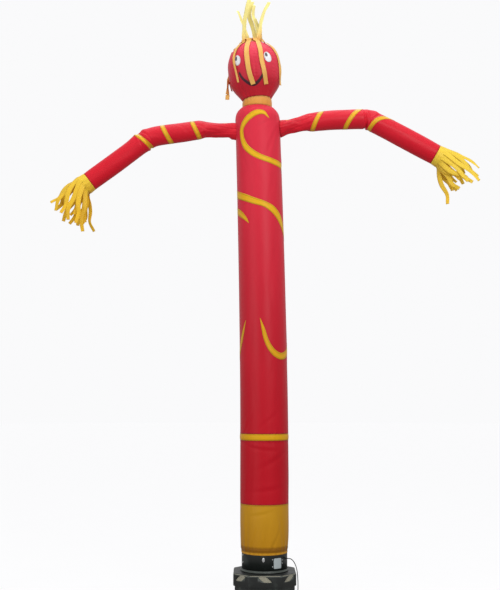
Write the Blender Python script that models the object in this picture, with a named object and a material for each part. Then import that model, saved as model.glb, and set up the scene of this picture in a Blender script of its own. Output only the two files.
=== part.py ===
"""Inflatable air dancer standing on its blower.

Metres, +Z up. The origin lies on the floor under the blower's upright axis.
The front faces -Y. An azimuth of 0 points to the front and 90 to +X.
Cloth pieces are thin open tubes and strips, each a closed solid of its wall.
"""

import math

import bmesh
import bpy
import numpy as np

# Driving dimensions, in metres
GAP = 0.0003
WALL = 0.0015
TUBE_SIDES = 32

# Blower housing, drum and collar
FOOT_HEIGHT = 0.020
FOOT_RADIUS = 0.030
FOOT_SPOT = 0.182
BASE_TOP = 0.210
BASE_ACROSS = 0.557
SHROUD_TOP = 0.325
SHROUD_ACROSS = 0.585
HOUSING_WALL = 0.003
CHAMFER_SHARE = 0.235
CORNER_ROUND = 0.018
BASE_LIP = 0.060
SHROUD_LIP = 0.022
BORE_RADIUS = 0.195
DRUM_RADIUS = 0.2145
DRUM_WALL = 0.003
DRUM_TOP = 0.560
FLANGE_RADIUS = 0.2260
FLANGE_HEIGHT = 0.024

# Cloth body, by height above the floor
HEM_Z = 0.490
SKIRT_TOP = 0.946
RING_BOTTOM = 1.537
RING_TOP = 1.598
DOME_Z = 4.680
SHOULDER_Z = 4.800
HEM_RADIUS = DRUM_RADIUS + GAP + WALL
BODY_RADIUS = 0.230
SHOULDER_RADIUS = 0.221
NECK_RADIUS = 0.143
DOME_END = math.radians(75.0)

# Lean of the upright tube towards -X
LEAN_FROM = RING_TOP
LEAN_RATE = 0.0113

# Head, along its own tilted axis from the neck seam
HEAD_SEAT = (-0.066, 0.0, 4.886)
HEAD_TILT = math.radians(5.0)
HEAD_RADIUS = 0.267
HEAD_CENTRE = 0.330
HEAD_SEAM_RADIUS = 0.141
VENT_ANGLE = 68.0
GORES = 8
GORE_DIP = 0.012

# Sewn-on shapes stand this far off the cloth under them, and are this thick
TRIM_GAP = 0.0005
TRIM_WALL = 0.0010

# Strips of the hair and hands
STRIP_THICK = 0.0016
HAIR_SLOTS = 12
HAIR_LIFT = 0.009
HAND_SLOTS = 12
HAND_STRIP_WIDTH = 0.030

# Mains lead
CORD_RADIUS = 0.004
COIL_RADIUS = 0.044
COIL_PLACE = (0.075, 0.420)
COIL_SIDES = 22

# Colours as linear red, green, blue
RED = (0.52, 0.012, 0.032)
YELLOW = (0.78, 0.42, 0.015)
OCHRE = (0.52, 0.26, 0.015)
BLACK = (0.012, 0.013, 0.012)
RUBBER = (0.010, 0.010, 0.010)
PALE = (0.55, 0.56, 0.55)
STEEL = (0.48, 0.48, 0.44)
WHITE = (0.86, 0.86, 0.84)


def clear_scene():
    for thing in list(bpy.data.objects):
        bpy.data.objects.remove(thing, do_unlink=True)


def finish_material(name, colour, roughness, metallic=0.0):
    made = bpy.data.materials.new(name)
    made.use_nodes = True
    shader = made.node_tree.nodes["Principled BSDF"]
    shader.inputs["Base Color"].default_value = (*colour, 1.0)
    shader.inputs["Roughness"].default_value = roughness
    shader.inputs["Metallic"].default_value = metallic
    return made


def add_object(name, points, faces, finish=None, smooth=True):
    mesh = bpy.data.meshes.new(name)
    mesh.from_pydata([tuple(map(float, p)) for p in points], [], faces)
    mesh.validate()
    mesh.update()
    made = bpy.data.objects.new(name, mesh)
    bpy.context.scene.collection.objects.link(made)
    if finish is not None:
        mesh.materials.append(finish)
    if smooth:
        mesh.shade_smooth()
        mesh.set_sharp_from_angle(angle=math.radians(35.0))
    return made


def as_cutter(made):
    """Marks an object as a tool that shapes others and is no piece itself."""
    turn_outwards(made.data)
    made.hide_render = True
    made.display_type = "WIRE"
    return made


def turn_outwards(mesh):
    work = bmesh.new()
    work.from_mesh(mesh)
    bmesh.ops.recalc_face_normals(work, faces=work.faces)
    work.to_mesh(mesh)
    work.free()


def combine(made, tool, operation="DIFFERENCE"):
    step = made.modifiers.new(tool.name, "BOOLEAN")
    step.operation = operation
    step.solver = "EXACT"
    step.object = tool
    return made


# Lofting

def circle_angles(sides):
    return np.arange(sides) * 2.0 * math.pi / sides


def surface_normals(rings):
    """Outward normals of a grid of rings, level with the seam at both ends."""
    around = np.roll(rings, -1, axis=1) - np.roll(rings, 1, axis=1)
    along = np.gradient(rings, axis=0)
    normals = np.cross(around, along)
    for end, inner in ((0, 1), (-1, -2)):
        axis = np.cross(rings[end][0] - rings[end].mean(0), around[end][0])
        axis /= np.linalg.norm(axis)
        normals[end] -= np.outer(normals[end] @ axis, axis)
    return normals / np.linalg.norm(normals, axis=2, keepdims=True)


def shell_mesh(outer, inner, split=False):
    """Closed wall between two grids of rings, both open at their ends.

    Where the quads are twisted, both skins are split along the same diagonal,
    so that a thin wall keeps its thickness.
    """
    count, sides = outer.shape[:2]
    points = list(outer.reshape(-1, 3)) + list(inner.reshape(-1, 3))
    shift = count * sides
    faces = []
    for i in range(count - 1):
        for k in range(sides):
            j = (k + 1) % sides
            low, high = i * sides, (i + 1) * sides
            out = (low + k, low + j, high + j, high + k)
            back = tuple(shift + n for n in (low + k, high + k, high + j, low + j))
            if split:
                faces += [out[:3], (out[0], out[2], out[3])]
                faces += [(back[0], back[1], back[2]), (back[0], back[2], back[3])]
            else:
                faces += [out, back]
    last = (count - 1) * sides
    for k in range(sides):
        j = (k + 1) % sides
        faces.append((j, k, shift + k, shift + j))
        faces.append((last + k, last + j, shift + last + j, shift + last + k))
    return points, faces


def cloth_tube(name, rings, finish, wall=WALL, split=False):
    rings = np.asarray(rings, dtype=float)
    inner = rings - surface_normals(rings) * wall
    return add_object(name, *shell_mesh(rings, inner, split), finish)


def trim_sleeve(name, rings, finish, gap=TRIM_GAP, wall=TRIM_WALL, split=False):
    """Thin sleeve just clear of a tube, from which sewn-on shapes are cut."""
    rings = np.asarray(rings, dtype=float)
    normals = surface_normals(rings)
    outer = rings + normals * (gap + wall)
    inner = rings + normals * gap
    return add_object(name, *shell_mesh(outer, inner, split), finish)


def solid_loft(name, rings, finish=None, smooth=True):
    """Closed solid through rings of points, with a flat cap at each end."""
    rings = np.asarray(rings, dtype=float)
    count, sides = rings.shape[:2]
    faces = [tuple(range(sides - 1, -1, -1))]
    for i in range(count - 1):
        for k in range(sides):
            j = (k + 1) % sides
            low, high = i * sides, (i + 1) * sides
            faces.append((low + k, low + j, high + j, high + k))
    faces.append(tuple(range((count - 1) * sides, count * sides)))
    return add_object(name, rings.reshape(-1, 3), faces, finish, smooth)


def smooth_path(points, steps):
    """Catmull-Rom curve through every row of a short table of numbers."""
    rows = np.asarray(points, dtype=float)
    padded = np.vstack((2 * rows[0] - rows[1], rows, 2 * rows[-1] - rows[-2]))
    curve = []
    for i in range(len(rows) - 1):
        a, b, c, d = padded[i:i + 4]
        for t in np.arange(steps) / steps:
            curve.append(0.5 * (2 * b + (c - a) * t + (2 * a - 5 * b + 4 * c - d) * t ** 2
                                + (3 * b - a - 3 * c + d) * t ** 3))
    curve.append(rows[-1])
    return np.array(curve)


def even_path(points, spacing):
    """The smooth curve through the points, read at even steps of its length."""
    curve = smooth_path(points, 12)
    run = np.concatenate(([0.0], np.cumsum(np.linalg.norm(np.diff(curve, axis=0), axis=1))))
    stops = np.linspace(0.0, run[-1], max(3, int(round(run[-1] / spacing)) + 1))
    return np.column_stack([np.interp(stops, run, curve[:, i]) for i in range(3)])


# The blower

def octagon(across, height, corner=CORNER_ROUND, arcs=1):
    """Level ring of a square with cut corners, each of its eight corners rounded."""
    half = across / 2.0
    cut = across * CHAMFER_SHARE
    corners = [(half, half - cut), (half - cut, half)]
    ring = [(x, y) for x, y in corners]
    for turn in range(1, 4):
        c, s = round(math.cos(turn * math.pi / 2)), round(math.sin(turn * math.pi / 2))
        ring += [(c * x - s * y, s * x + c * y) for x, y in corners]
    ring = [np.array(p) for p in ring]
    points = []
    for i, here in enumerate(ring):
        back = (ring[i - 1] - here) / np.linalg.norm(ring[i - 1] - here)
        on = (ring[(i + 1) % 8] - here) / np.linalg.norm(ring[(i + 1) % 8] - here)
        for t in np.linspace(0.0, 1.0, arcs + 1):
            spot = here + corner * ((1 - t) ** 2 * back + t ** 2 * on)
            points.append((spot[0], spot[1], height))
    return points


def octagon_block(name, across, low, high, finish=None):
    return solid_loft(name, [octagon(across, low), octagon(across, high)], finish)


def drum_ring(radius, height, sides=TUBE_SIDES):
    turn = circle_angles(sides)
    return np.column_stack((radius * np.sin(turn), -radius * np.cos(turn), np.full(sides, height)))


def window_cutter(index):
    """Slanted inlet slot through one of the eight sides of the housing."""
    turn = index * math.pi / 4
    slant = -1.0 if index % 2 else 1.0
    outline = [(-0.064, 0.308), (-0.040, 0.3145), (0.004, 0.314), (0.036, 0.292),
               (0.064, 0.266), (0.040, 0.2615), (-0.006, 0.264), (-0.038, 0.286)]
    if slant < 0:
        outline = [(-u, z) for u, z in reversed(outline)]
    rings = []
    for depth in (0.262, 0.320):
        rings.append([(depth * math.sin(turn) + u * math.cos(turn),
                       -depth * math.cos(turn) + u * math.sin(turn), z) for u, z in outline])
    return as_cutter(solid_loft(f"window_{index + 1}", rings, smooth=False))


def make_housing(black, rubber, steel):
    base = octagon_block("blower_base", BASE_ACROSS, FOOT_HEIGHT + GAP, BASE_TOP - GAP, black)
    room = BASE_ACROSS - 2 * HOUSING_WALL
    hollow = octagon_block("base_hollow", room, FOOT_HEIGHT + HOUSING_WALL, BASE_TOP + 0.05)
    mouth = octagon_block("base_mouth", BASE_ACROSS - 2 * BASE_LIP, -0.05, BASE_TOP + 0.02)
    combine(base, as_cutter(hollow))
    combine(base, as_cutter(mouth))

    shroud = octagon_block("blower_shroud", SHROUD_ACROSS, BASE_TOP, SHROUD_TOP, black)
    room = SHROUD_ACROSS - 2 * HOUSING_WALL
    hollow = octagon_block("shroud_hollow", room, BASE_TOP + HOUSING_WALL, SHROUD_TOP - HOUSING_WALL)
    mouth = octagon_block("shroud_mouth", SHROUD_ACROSS - 2 * SHROUD_LIP, BASE_TOP - 0.05,
                          BASE_TOP + 0.05)
    bore = solid_loft("shroud_bore", [drum_ring(BORE_RADIUS, SHROUD_TOP - 0.05),
                                      drum_ring(BORE_RADIUS, SHROUD_TOP + 0.05)])
    for tool in (hollow, mouth, bore):
        combine(shroud, as_cutter(tool))
    for index in range(8):
        combine(shroud, window_cutter(index))

    across = SHROUD_ACROSS - 2 * HOUSING_WALL - 2 * GAP
    guard = octagon_block("inlet_guard", across, BASE_TOP + HOUSING_WALL + GAP,
                          SHROUD_TOP - HOUSING_WALL - GAP, steel)
    inside = octagon_block("guard_hollow", across - 2 * WALL, BASE_TOP - 0.05, SHROUD_TOP + 0.05)
    combine(guard, as_cutter(inside))

    for index, (sx, sy) in enumerate(((-1, -1), (1, -1), (1, 1), (-1, 1))):
        turn = circle_angles(12)
        rings = [np.column_stack((sx * FOOT_SPOT + r * np.cos(turn),
                                  sy * FOOT_SPOT + r * np.sin(turn), np.full(12, z)))
                 for r, z in ((FOOT_RADIUS - 0.004, 0.0), (FOOT_RADIUS, FOOT_HEIGHT))]
        solid_loft(f"foot_{index + 1}", rings, rubber)


def drum_band(name, low_angle, high_angle, low, high, finish):
    """Thin plate bent to the drum's own flats, between two whole facets."""
    facet = 360.0 / TUBE_SIDES
    turn = np.radians(np.arange(low_angle, high_angle + 0.5 * facet, facet))
    rings = []
    for radius in (DRUM_RADIUS + GAP, DRUM_RADIUS + GAP + 0.0015):
        side = [(radius * math.sin(a), -radius * math.cos(a)) for a in turn]
        rings.append([(x, y, low) for x, y in side] + [(x, y, high) for x, y in reversed(side)])
    inner, outer = rings
    made = solid_loft(name, [inner, outer], finish, smooth=False)
    turn_outwards(made.data)
    return made


def button(name, facet, height, radius, depth, finish, stretch=1.0, slide=0.0):
    """Low round head seated on one of the drum's flats."""
    angle = math.radians((facet + 0.5) * 360.0 / TUBE_SIDES)
    flat = DRUM_RADIUS * math.cos(math.pi / TUBE_SIDES) + GAP
    out = np.array([math.sin(angle), -math.cos(angle), 0.0])
    side = np.array([math.cos(angle), math.sin(angle), 0.0])
    turn = circle_angles(8)
    rings = []
    for size, rise in ((1.0, 0.0), (1.0, 0.55), (0.62, 1.0)):
        ring = [out * (flat + depth * rise) + side * (slide + radius * size * math.cos(t))
                + np.array([0.0, 0.0, height + stretch * radius * size * math.sin(t)])
                for t in turn]
        rings.append(ring)
    return solid_loft(name, rings, finish)


def make_drum(black, pale, steel):
    rings = [drum_ring(DRUM_RADIUS, z) for z in (SHROUD_TOP + GAP, DRUM_TOP)]
    cloth_tube("blower_drum", rings, black, DRUM_WALL)

    low = SHROUD_TOP + GAP
    seat = DRUM_RADIUS + GAP
    bead = FLANGE_RADIUS - seat
    profile = [(1.0, 0.0), (1.0, 0.35), (0.52, 0.52), (0.30, 1.0)]
    outer = np.array([drum_ring(seat + bead * share, low + FLANGE_HEIGHT * rise)
                      for share, rise in profile])
    inner = np.array([drum_ring(seat, low + FLANGE_HEIGHT * rise) for share, rise in profile])
    add_object("collar_flange", *shell_mesh(outer, inner), black)

    drum_band("rating_plate", 22.5, 45.0, 0.368, 0.462, pale)
    for index, (facet, height, slide) in enumerate(((1, 0.452, 0.010), (1, 0.388, 0.010),
                                                    (4, 0.440, -0.008), (4, 0.412, -0.008))):
        button(f"plate_screw_{index + 1}", facet, height, 0.0055, 0.004, steel, slide=slide)
    for index, height in enumerate((0.474, 0.408)):
        button(f"drum_bolt_{index + 1}", -7, height, 0.0075, 0.006, steel, slide=0.010)
    button("drum_catch", -1, 0.450, 0.0130, 0.006, steel, stretch=1.6, slide=0.008)


# The upright cloth tube

def lean(z):
    return -LEAN_RATE * max(z - LEAN_FROM, 0.0) ** 1.5


def tube_ring(radius, z, ripple=0.0, waves=9, phase=0.0):
    turn = circle_angles(TUBE_SIDES)
    reach = radius + ripple * np.cos(waves * turn + phase)
    return np.column_stack((lean(z) + reach * np.sin(turn), -reach * np.cos(turn),
                            np.full(TUBE_SIDES, z)))


def body_radius(z):
    share = max(z - RING_TOP, 0.0) / (DOME_Z - RING_TOP)
    return BODY_RADIUS - (BODY_RADIUS - SHOULDER_RADIUS) * share


def make_skirt(ochre):
    rows = [(HEM_Z, HEM_RADIUS, 0.0), (HEM_Z + 0.030, HEM_RADIUS + 0.0008, 0.0),
            (HEM_Z + 0.045, HEM_RADIUS + 0.0040, 0.0012), (HEM_Z + 0.075, HEM_RADIUS + 0.0065, 0.0015),
            (HEM_Z + 0.140, HEM_RADIUS + 0.0100, 0.0006), (0.760, BODY_RADIUS - 0.0010, 0.0),
            (SKIRT_TOP - GAP / 2, BODY_RADIUS - 0.0008, 0.0)]
    cloth_tube("skirt", [tube_ring(r, z, ripple) for z, r, ripple in rows], ochre, split=True)


def make_lower_tube(red, yellow):
    rows = [(SKIRT_TOP + GAP / 2, -0.0008), (0.990, 0.0), (1.480, 0.0),
            (1.515, -0.0012), (RING_BOTTOM - GAP / 2, -0.0004)]
    cloth_tube("tube_lower", [tube_ring(BODY_RADIUS + d, z) for z, d in rows], red)
    rows = [(RING_BOTTOM + GAP / 2, -0.0004), (RING_TOP - GAP / 2, -0.0004)]
    cloth_tube("tube_ring", [tube_ring(BODY_RADIUS + d, z) for z, d in rows], yellow)


TRUNK_LEVELS = (RING_TOP + GAP / 2, 1.64, 2.20, 2.75, 3.20, 3.65, 4.05, 4.40)


def trunk_rows():
    """Heights and radii of the trunk's rings, with the shoulder as an elliptic arc."""
    rows = [(z, body_radius(z) - (0.0004 if z < RING_TOP + GAP else 0.0)) for z in TRUNK_LEVELS]
    share = 1.0 - math.cos(DOME_END)
    reach = (SHOULDER_RADIUS - NECK_RADIUS) / share
    rise = (SHOULDER_Z - DOME_Z) / math.sin(DOME_END)
    for angle in np.linspace(0.0, DOME_END, 5):
        rows.append((DOME_Z + rise * math.sin(angle),
                     SHOULDER_RADIUS - reach * (1.0 - math.cos(angle))))
    return rows


def trunk_radius(z):
    rows = trunk_rows()
    return float(np.interp(z, [row[0] for row in rows], [row[1] for row in rows]))


def trunk_rings(low=0.0, high=9.0):
    """The trunk's own rings that reach from one height to another."""
    rows = trunk_rows()
    first = max([0] + [i for i, row in enumerate(rows) if row[0] <= low])
    last = min([len(rows) - 1] + [i for i, row in enumerate(rows) if row[0] >= high])
    return [tube_ring(r, z) for z, r in rows[first:last + 1]]


def make_trunk(red):
    trunk = cloth_tube("trunk", trunk_rings(), red)
    for name, rows in (("left", ARM_LEFT), ("right", ARM_RIGHT)):
        a, b = np.array(rows[0][:3]), np.array(rows[1][:3])
        along = (b - a) / np.linalg.norm(b - a)
        rings = [ring_about(a - along * 0.02, along, ARM_HOLE_RADIUS, 12),
                 ring_about(b + along * 0.12, along, ARM_HOLE_RADIUS, 12)]
        combine(trunk, as_cutter(solid_loft(f"arm_hole_{name}", rings)))
    return trunk


def make_neck(yellow):
    low = tube_ring(NECK_RADIUS, SHOULDER_Z + GAP)
    top = np.array([head_point(a, -GAP, HEAD_SEAM_RADIUS)
                    for a in np.degrees(circle_angles(TUBE_SIDES))])
    middle = (low + top) / 2.0
    middle += (middle - middle.mean(0)) * 0.012
    cloth_tube("neck", [low, middle, top], yellow, split=True)


# The head

HEAD_PROFILE = ((0.000, 0.141), (0.055, 0.181), (0.110, 0.222), (0.160, 0.249), (0.215, 0.262),
                (0.270, 0.2665))


def head_rows():
    rows = list(HEAD_PROFILE)
    for angle in (0.0, 20.0, 38.0, 54.0, VENT_ANGLE):
        a = math.radians(angle)
        rows.append((HEAD_CENTRE + HEAD_RADIUS * math.sin(a), HEAD_RADIUS * math.cos(a)))
    return rows


def head_radius(s):
    rows = head_rows()
    return float(np.interp(s, [row[0] for row in rows], [row[1] for row in rows]))


def head_point(azimuth, s, radius):
    """Point at an azimuth, a height along the head's axis and a distance from it."""
    a = math.radians(azimuth)
    up = np.array([-math.sin(HEAD_TILT), 0.0, math.cos(HEAD_TILT)])
    right = np.array([math.cos(HEAD_TILT), 0.0, math.sin(HEAD_TILT)])
    spot = np.array(HEAD_SEAT) + up * s + right * (radius * math.sin(a))
    return spot + np.array([0.0, -radius * math.cos(a), 0.0])


def over_head(azimuth, s, lift):
    """Point that stands off the head's cloth, square to it, by the lift."""
    slope = (head_radius(s + 0.01) - head_radius(s - 0.01)) / 0.02
    size = math.hypot(1.0, slope)
    return head_point(azimuth, s - slope / size * lift, head_radius(s) + lift / size)


def gore_share(index):
    """Seams between the gores lie a little lower than the cloth between them."""
    per = TUBE_SIDES // GORES
    return 1.0 - GORE_DIP * (0.5 + 0.5 * math.cos(2.0 * math.pi * (index % per) / per))


def head_rings(low=-1.0, high=2.0):
    rings = []
    for s, radius in head_rows():
        if low <= s <= high:
            dip = min(1.0, max(0.0, s / 0.05))
            rings.append([head_point(k * 360.0 / TUBE_SIDES, s,
                                     radius * (1.0 - dip * (1.0 - gore_share(k))))
                          for k in range(TUBE_SIDES)])
    return rings


# Sewn-on shapes

def ribbon_cutter(name, rows, place, reach, inside=0.03, outside=0.03, steps=2):
    """Ribbon along a curve on a turned surface, cut straight through its wall.

    Each row is an azimuth in degrees, a height and a width.
    """
    curve = smooth_path(rows, steps)
    flat = np.column_stack((np.radians(curve[:, 0]) * reach, curve[:, 1]))
    along = np.gradient(flat, axis=0)
    along /= np.linalg.norm(along, axis=1, keepdims=True)
    across = np.column_stack((-along[:, 1], along[:, 0]))
    half = np.maximum(curve[:, 2], 0.004)[:, None] / 2.0
    rings = []
    for left, right in zip(flat + across * half, flat - across * half):
        ring = []
        for (x, h), shift in ((left, -inside), (left, outside), (right, outside), (right, -inside)):
            ring.append(place(math.degrees(x / reach), h, shift))
        rings.append(ring)
    return as_cutter(solid_loft(name, rings, smooth=False))


def oval_cutter(name, azimuth, height, half_width, half_height, turn, place, reach):
    """Oval prism through a turned surface, turned a little in its plane."""
    rings = []
    for shift in (-0.03, 0.03):
        ring = []
        for t in circle_angles(20):
            u, v = half_width * math.cos(t), half_height * math.sin(t)
            x = u * math.cos(turn) - v * math.sin(turn)
            y = u * math.sin(turn) + v * math.cos(turn)
            ring.append(place(azimuth + math.degrees(x / reach), height + y, shift))
        rings.append(ring)
    return as_cutter(solid_loft(name, rings, smooth=False))


def on_trunk(azimuth, z, shift):
    a = math.radians(azimuth)
    radius = trunk_radius(z) + shift
    return (lean(z) + radius * math.sin(a), -radius * math.cos(a), z)


def on_head(azimuth, s, shift):
    return tuple(head_point(azimuth, s, head_radius(s) + shift))


# Swirls: azimuth in degrees, height, width of each ribbon along its curve
SWIRLS = {
    "swirl_chest": ((30, 4.643, 0.004), (15, 4.695, 0.042), (-2, 4.694, 0.056),
                    (-19, 4.662, 0.060), (-34, 4.616, 0.060), (-46, 4.550, 0.056),
                    (-47, 4.475, 0.056), (-42, 4.412, 0.058), (-33, 4.354, 0.060),
                    (-17, 4.296, 0.060), (2, 4.253, 0.056), (24, 4.227, 0.056),
                    (47, 4.210, 0.060), (74, 4.196, 0.062), (102, 4.172, 0.056),
                    (126, 4.136, 0.036), (142, 4.104, 0.006)),
    "swirl_waist": ((-142, 4.022, 0.006), (-122, 3.990, 0.040), (-98, 3.948, 0.064),
                    (-70, 3.902, 0.072), (-42, 3.862, 0.070), (-16, 3.820, 0.064),
                    (9, 3.788, 0.058), (31, 3.744, 0.070), (50, 3.682, 0.076),
                    (66, 3.606, 0.072), (80, 3.534, 0.056), (96, 3.468, 0.032),
                    (108, 3.424, 0.006)),
    "swirl_tip": ((-122, 3.800, 0.006), (-104, 3.784, 0.040), (-82, 3.752, 0.064),
                  (-58, 3.707, 0.062), (-42, 3.658, 0.038), (-31, 3.606, 0.004)),
    "swirl_low_left": ((-46, 2.670, 0.004), (-57, 2.560, 0.034), (-69, 2.456, 0.050),
                       (-84, 2.364, 0.058), (-101, 2.312, 0.052), (-117, 2.302, 0.032),
                       (-130, 2.312, 0.006)),
    "swirl_low_hook": ((-7, 2.686, 0.004), (0, 2.584, 0.034), (6, 2.490, 0.044),
                       (15, 2.412, 0.052), (29, 2.352, 0.060), (48, 2.328, 0.066),
                       (70, 2.356, 0.066), (90, 2.420, 0.056), (106, 2.500, 0.036),
                       (117, 2.580, 0.006)),
}


def make_swirls(yellow):
    for name, rows in SWIRLS.items():
        heights = [row[1] for row in rows]
        rings = trunk_rings(min(heights) - 0.05, max(heights) + 0.05)
        piece = trim_sleeve(name, rings, yellow)
        tool = ribbon_cutter(f"{name}_outline", rows, on_trunk, BODY_RADIUS)
        combine(piece, tool, "INTERSECT")


SMILE = ((-37, 0.226, 0.020), (-32, 0.166, 0.026), (-22, 0.118, 0.029), (-10, 0.096, 0.030),
         (3, 0.108, 0.029), (13, 0.152, 0.026), (19, 0.206, 0.020))


def make_face(white, grey, black):
    rings = head_rings(0.15, 0.52)
    for name, azimuth, height, half_width in (("eye_left", -39, 0.350, 0.040),
                                              ("eye_right", 30.5, 0.352, 0.043)):
        eye = trim_sleeve(name, rings, white, split=True)
        tool = oval_cutter(f"{name}_outline", azimuth, height, half_width, 0.055,
                           0.20, on_head, HEAD_RADIUS)
        combine(eye, tool, "INTERSECT")
    lift = TRIM_GAP + TRIM_WALL + GAP
    for name, azimuth, height in (("pupil_left", -42, 0.372), ("pupil_right", 27.2, 0.374)):
        pupil = trim_sleeve(name, rings, grey, gap=lift, split=True)
        tool = oval_cutter(f"{name}_outline", azimuth, height, 0.015, 0.021,
                           0.20, on_head, HEAD_RADIUS)
        combine(pupil, tool, "INTERSECT")
    mouth = trim_sleeve("smile", head_rings(0.04, 0.28), black, split=True)
    tool = ribbon_cutter("smile_outline", SMILE, on_head, HEAD_RADIUS * 0.85)
    combine(mouth, tool, "INTERSECT")


# The arms: x, y, z and radius of each section, then how deep its soft folds run

ARM_SIDES = 14
ARM_HOLE_RADIUS = 0.050

ARM_LEFT = ((-0.205, 0.000, 4.577, 0.068, 0.00), (-0.300, 0.000, 4.577, 0.070, 0.06),
            (-0.370, -0.002, 4.577, 0.066, 0.10), (-0.455, -0.004, 4.581, 0.070, 0.08),
            (-0.570, -0.006, 4.584, 0.076, 0.06), (-0.640, -0.008, 4.578, 0.091, 0.02),
            (-0.800, -0.012, 4.553, 0.095, 0.00), (-0.960, -0.016, 4.530, 0.096, 0.00),
            (-1.080, -0.018, 4.508, 0.097, 0.00), (-1.150, -0.020, 4.480, 0.100, 0.03),
            (-1.225, -0.024, 4.426, 0.101, 0.03), (-1.310, -0.028, 4.358, 0.097, 0.00),
            (-1.470, -0.034, 4.232, 0.098, 0.00), (-1.640, -0.040, 4.103, 0.096, 0.00),
            (-1.712, -0.042, 4.048, 0.090, 0.00))

ARM_RIGHT = ((0.095, 0.000, 4.600, 0.070, 0.00), (0.195, 0.000, 4.611, 0.072, 0.06),
             (0.270, 0.002, 4.624, 0.068, 0.10), (0.345, 0.004, 4.638, 0.071, 0.08),
             (0.410, 0.006, 4.651, 0.079, 0.05), (0.480, 0.008, 4.663, 0.091, 0.02),
             (0.660, 0.012, 4.684, 0.096, 0.00), (0.850, 0.016, 4.693, 0.097, 0.00),
             (0.960, 0.018, 4.697, 0.098, 0.00), (1.035, 0.020, 4.690, 0.097, 0.04),
             (1.105, 0.022, 4.666, 0.101, 0.03), (1.220, 0.026, 4.607, 0.102, 0.00),
             (1.395, 0.032, 4.514, 0.104, 0.00), (1.575, 0.038, 4.416, 0.104, 0.00),
             (1.708, 0.042, 4.342, 0.100, 0.00))


def ring_about(centre, along, radius, sides, fold=0.0, phase=0.0):
    """Ring square to a direction, its first point on top."""
    along = np.asarray(along) / np.linalg.norm(along)
    level = np.array([0.0, 1.0, 0.0])
    level -= along * (level @ along)
    level /= np.linalg.norm(level)
    up = np.cross(along, level)
    if up[2] < 0:
        up, level = -up, -level
    side = np.cross(along, up)
    turn = circle_angles(sides)
    reach = radius * (1.0 + fold * np.cos(3.0 * turn + phase))
    rise, spread = reach * np.cos(turn), reach * np.sin(turn)
    return np.asarray(centre) + np.outer(rise, up) + np.outer(spread, side)


def arm_rings(rows):
    centres = np.array([row[:3] for row in rows])
    along = np.gradient(centres, axis=0)
    return np.array([ring_about(centres[i], along[i], row[3], ARM_SIDES, row[4], 1.3 * i)
                     for i, row in enumerate(rows)])


def make_arm(name, rows, red):
    arm = cloth_tube(name, arm_rings(rows), red, split=True)
    rings = np.array(trunk_rings(4.35, SHOULDER_Z))
    rings += surface_normals(rings) * (TRIM_GAP + GAP)
    combine(arm, as_cutter(solid_loft(f"{name}_seat", rings)))
    return arm


# Arm bands: side, x and z of the middle, slant from upright in degrees, width
ARM_BANDS = (
    ("left", -0.680, 4.573, 25.0, 0.044), ("left", -0.972, 4.530, 27.0, 0.044),
    ("left", -1.186, 4.450, 50.0, 0.046), ("right", 0.522, 4.668, -25.0, 0.044),
    ("right", 0.869, 4.694, -36.0, 0.044), ("right", 1.140, 4.648, -56.0, 0.044),
)


def slab_cutter(name, x, y, z, slant, width, depth):
    """Flat slab across an arm, leaning from upright by the slant."""
    a = math.radians(slant)
    thick = np.array([math.cos(a), 0.0, math.sin(a)]) * width / 2.0
    tall = np.array([-math.sin(a), 0.0, math.cos(a)]) * 0.22
    deep = np.array([0.0, depth / 2.0, 0.0])
    middle = np.array([x, y, z])
    rings = [[middle - thick + side * tall + near * deep
              for side, near in ((-1, -1), (1, -1), (1, 1), (-1, 1))]]
    rings.append([point + 2.0 * thick for point in rings[0]])
    return as_cutter(solid_loft(name, rings, smooth=False))


def make_arm_bands(yellow):
    for index, (side, x, z, slant, width) in enumerate(ARM_BANDS):
        rows = ARM_LEFT if side == "left" else ARM_RIGHT
        near = [i for i, row in enumerate(rows) if abs(row[0] - x) < 0.24]
        rings = arm_rings(rows)[max(near[0] - 1, 1):near[-1] + 2]
        name = f"arm_band_{index + 1}"
        band = trim_sleeve(name, rings, yellow, split=True)
        tool = slab_cutter(f"{name}_outline", x, 0.0, z, slant, width, 0.5)
        combine(band, tool, "INTERSECT")


# Strips

def strip_sections(root, path, width, thick, facing, narrowing):
    """Four-cornered sections along a strip that starts at a slot of its collar.

    The strip's width turns from the slot's own direction to the way that
    facing gives for each point, and it narrows from the slot's width over
    the given share of its length.
    """
    count = len(path)
    start = (root[1] - root[0]) + (root[2] - root[3])
    start_width = np.linalg.norm(root[1] - root[0])
    start /= np.linalg.norm(start)
    along = np.gradient(path, axis=0)
    sections = []
    for i in range(1, count):
        share = min(1.0, i / (count * 0.45))
        goal = facing(path[i])
        flat = start * (1.0 - share) + goal * (share if goal @ start > 0 else -share)
        way = along[i] / np.linalg.norm(along[i])
        flat = flat - way * (flat @ way)
        flat /= np.linalg.norm(flat)
        out = np.cross(flat, way)
        wide = start_width + (width[0] - start_width) * min(1.0, i / (count * narrowing))
        wide *= 1.0 + (width[1] - 1.0) * i / (count - 1)
        w, t = flat * wide / 2.0, out * thick / 2.0
        sections.append([path[i] - w + t, path[i] + w + t, path[i] + w - t, path[i] - w - t])
    return sections


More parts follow.
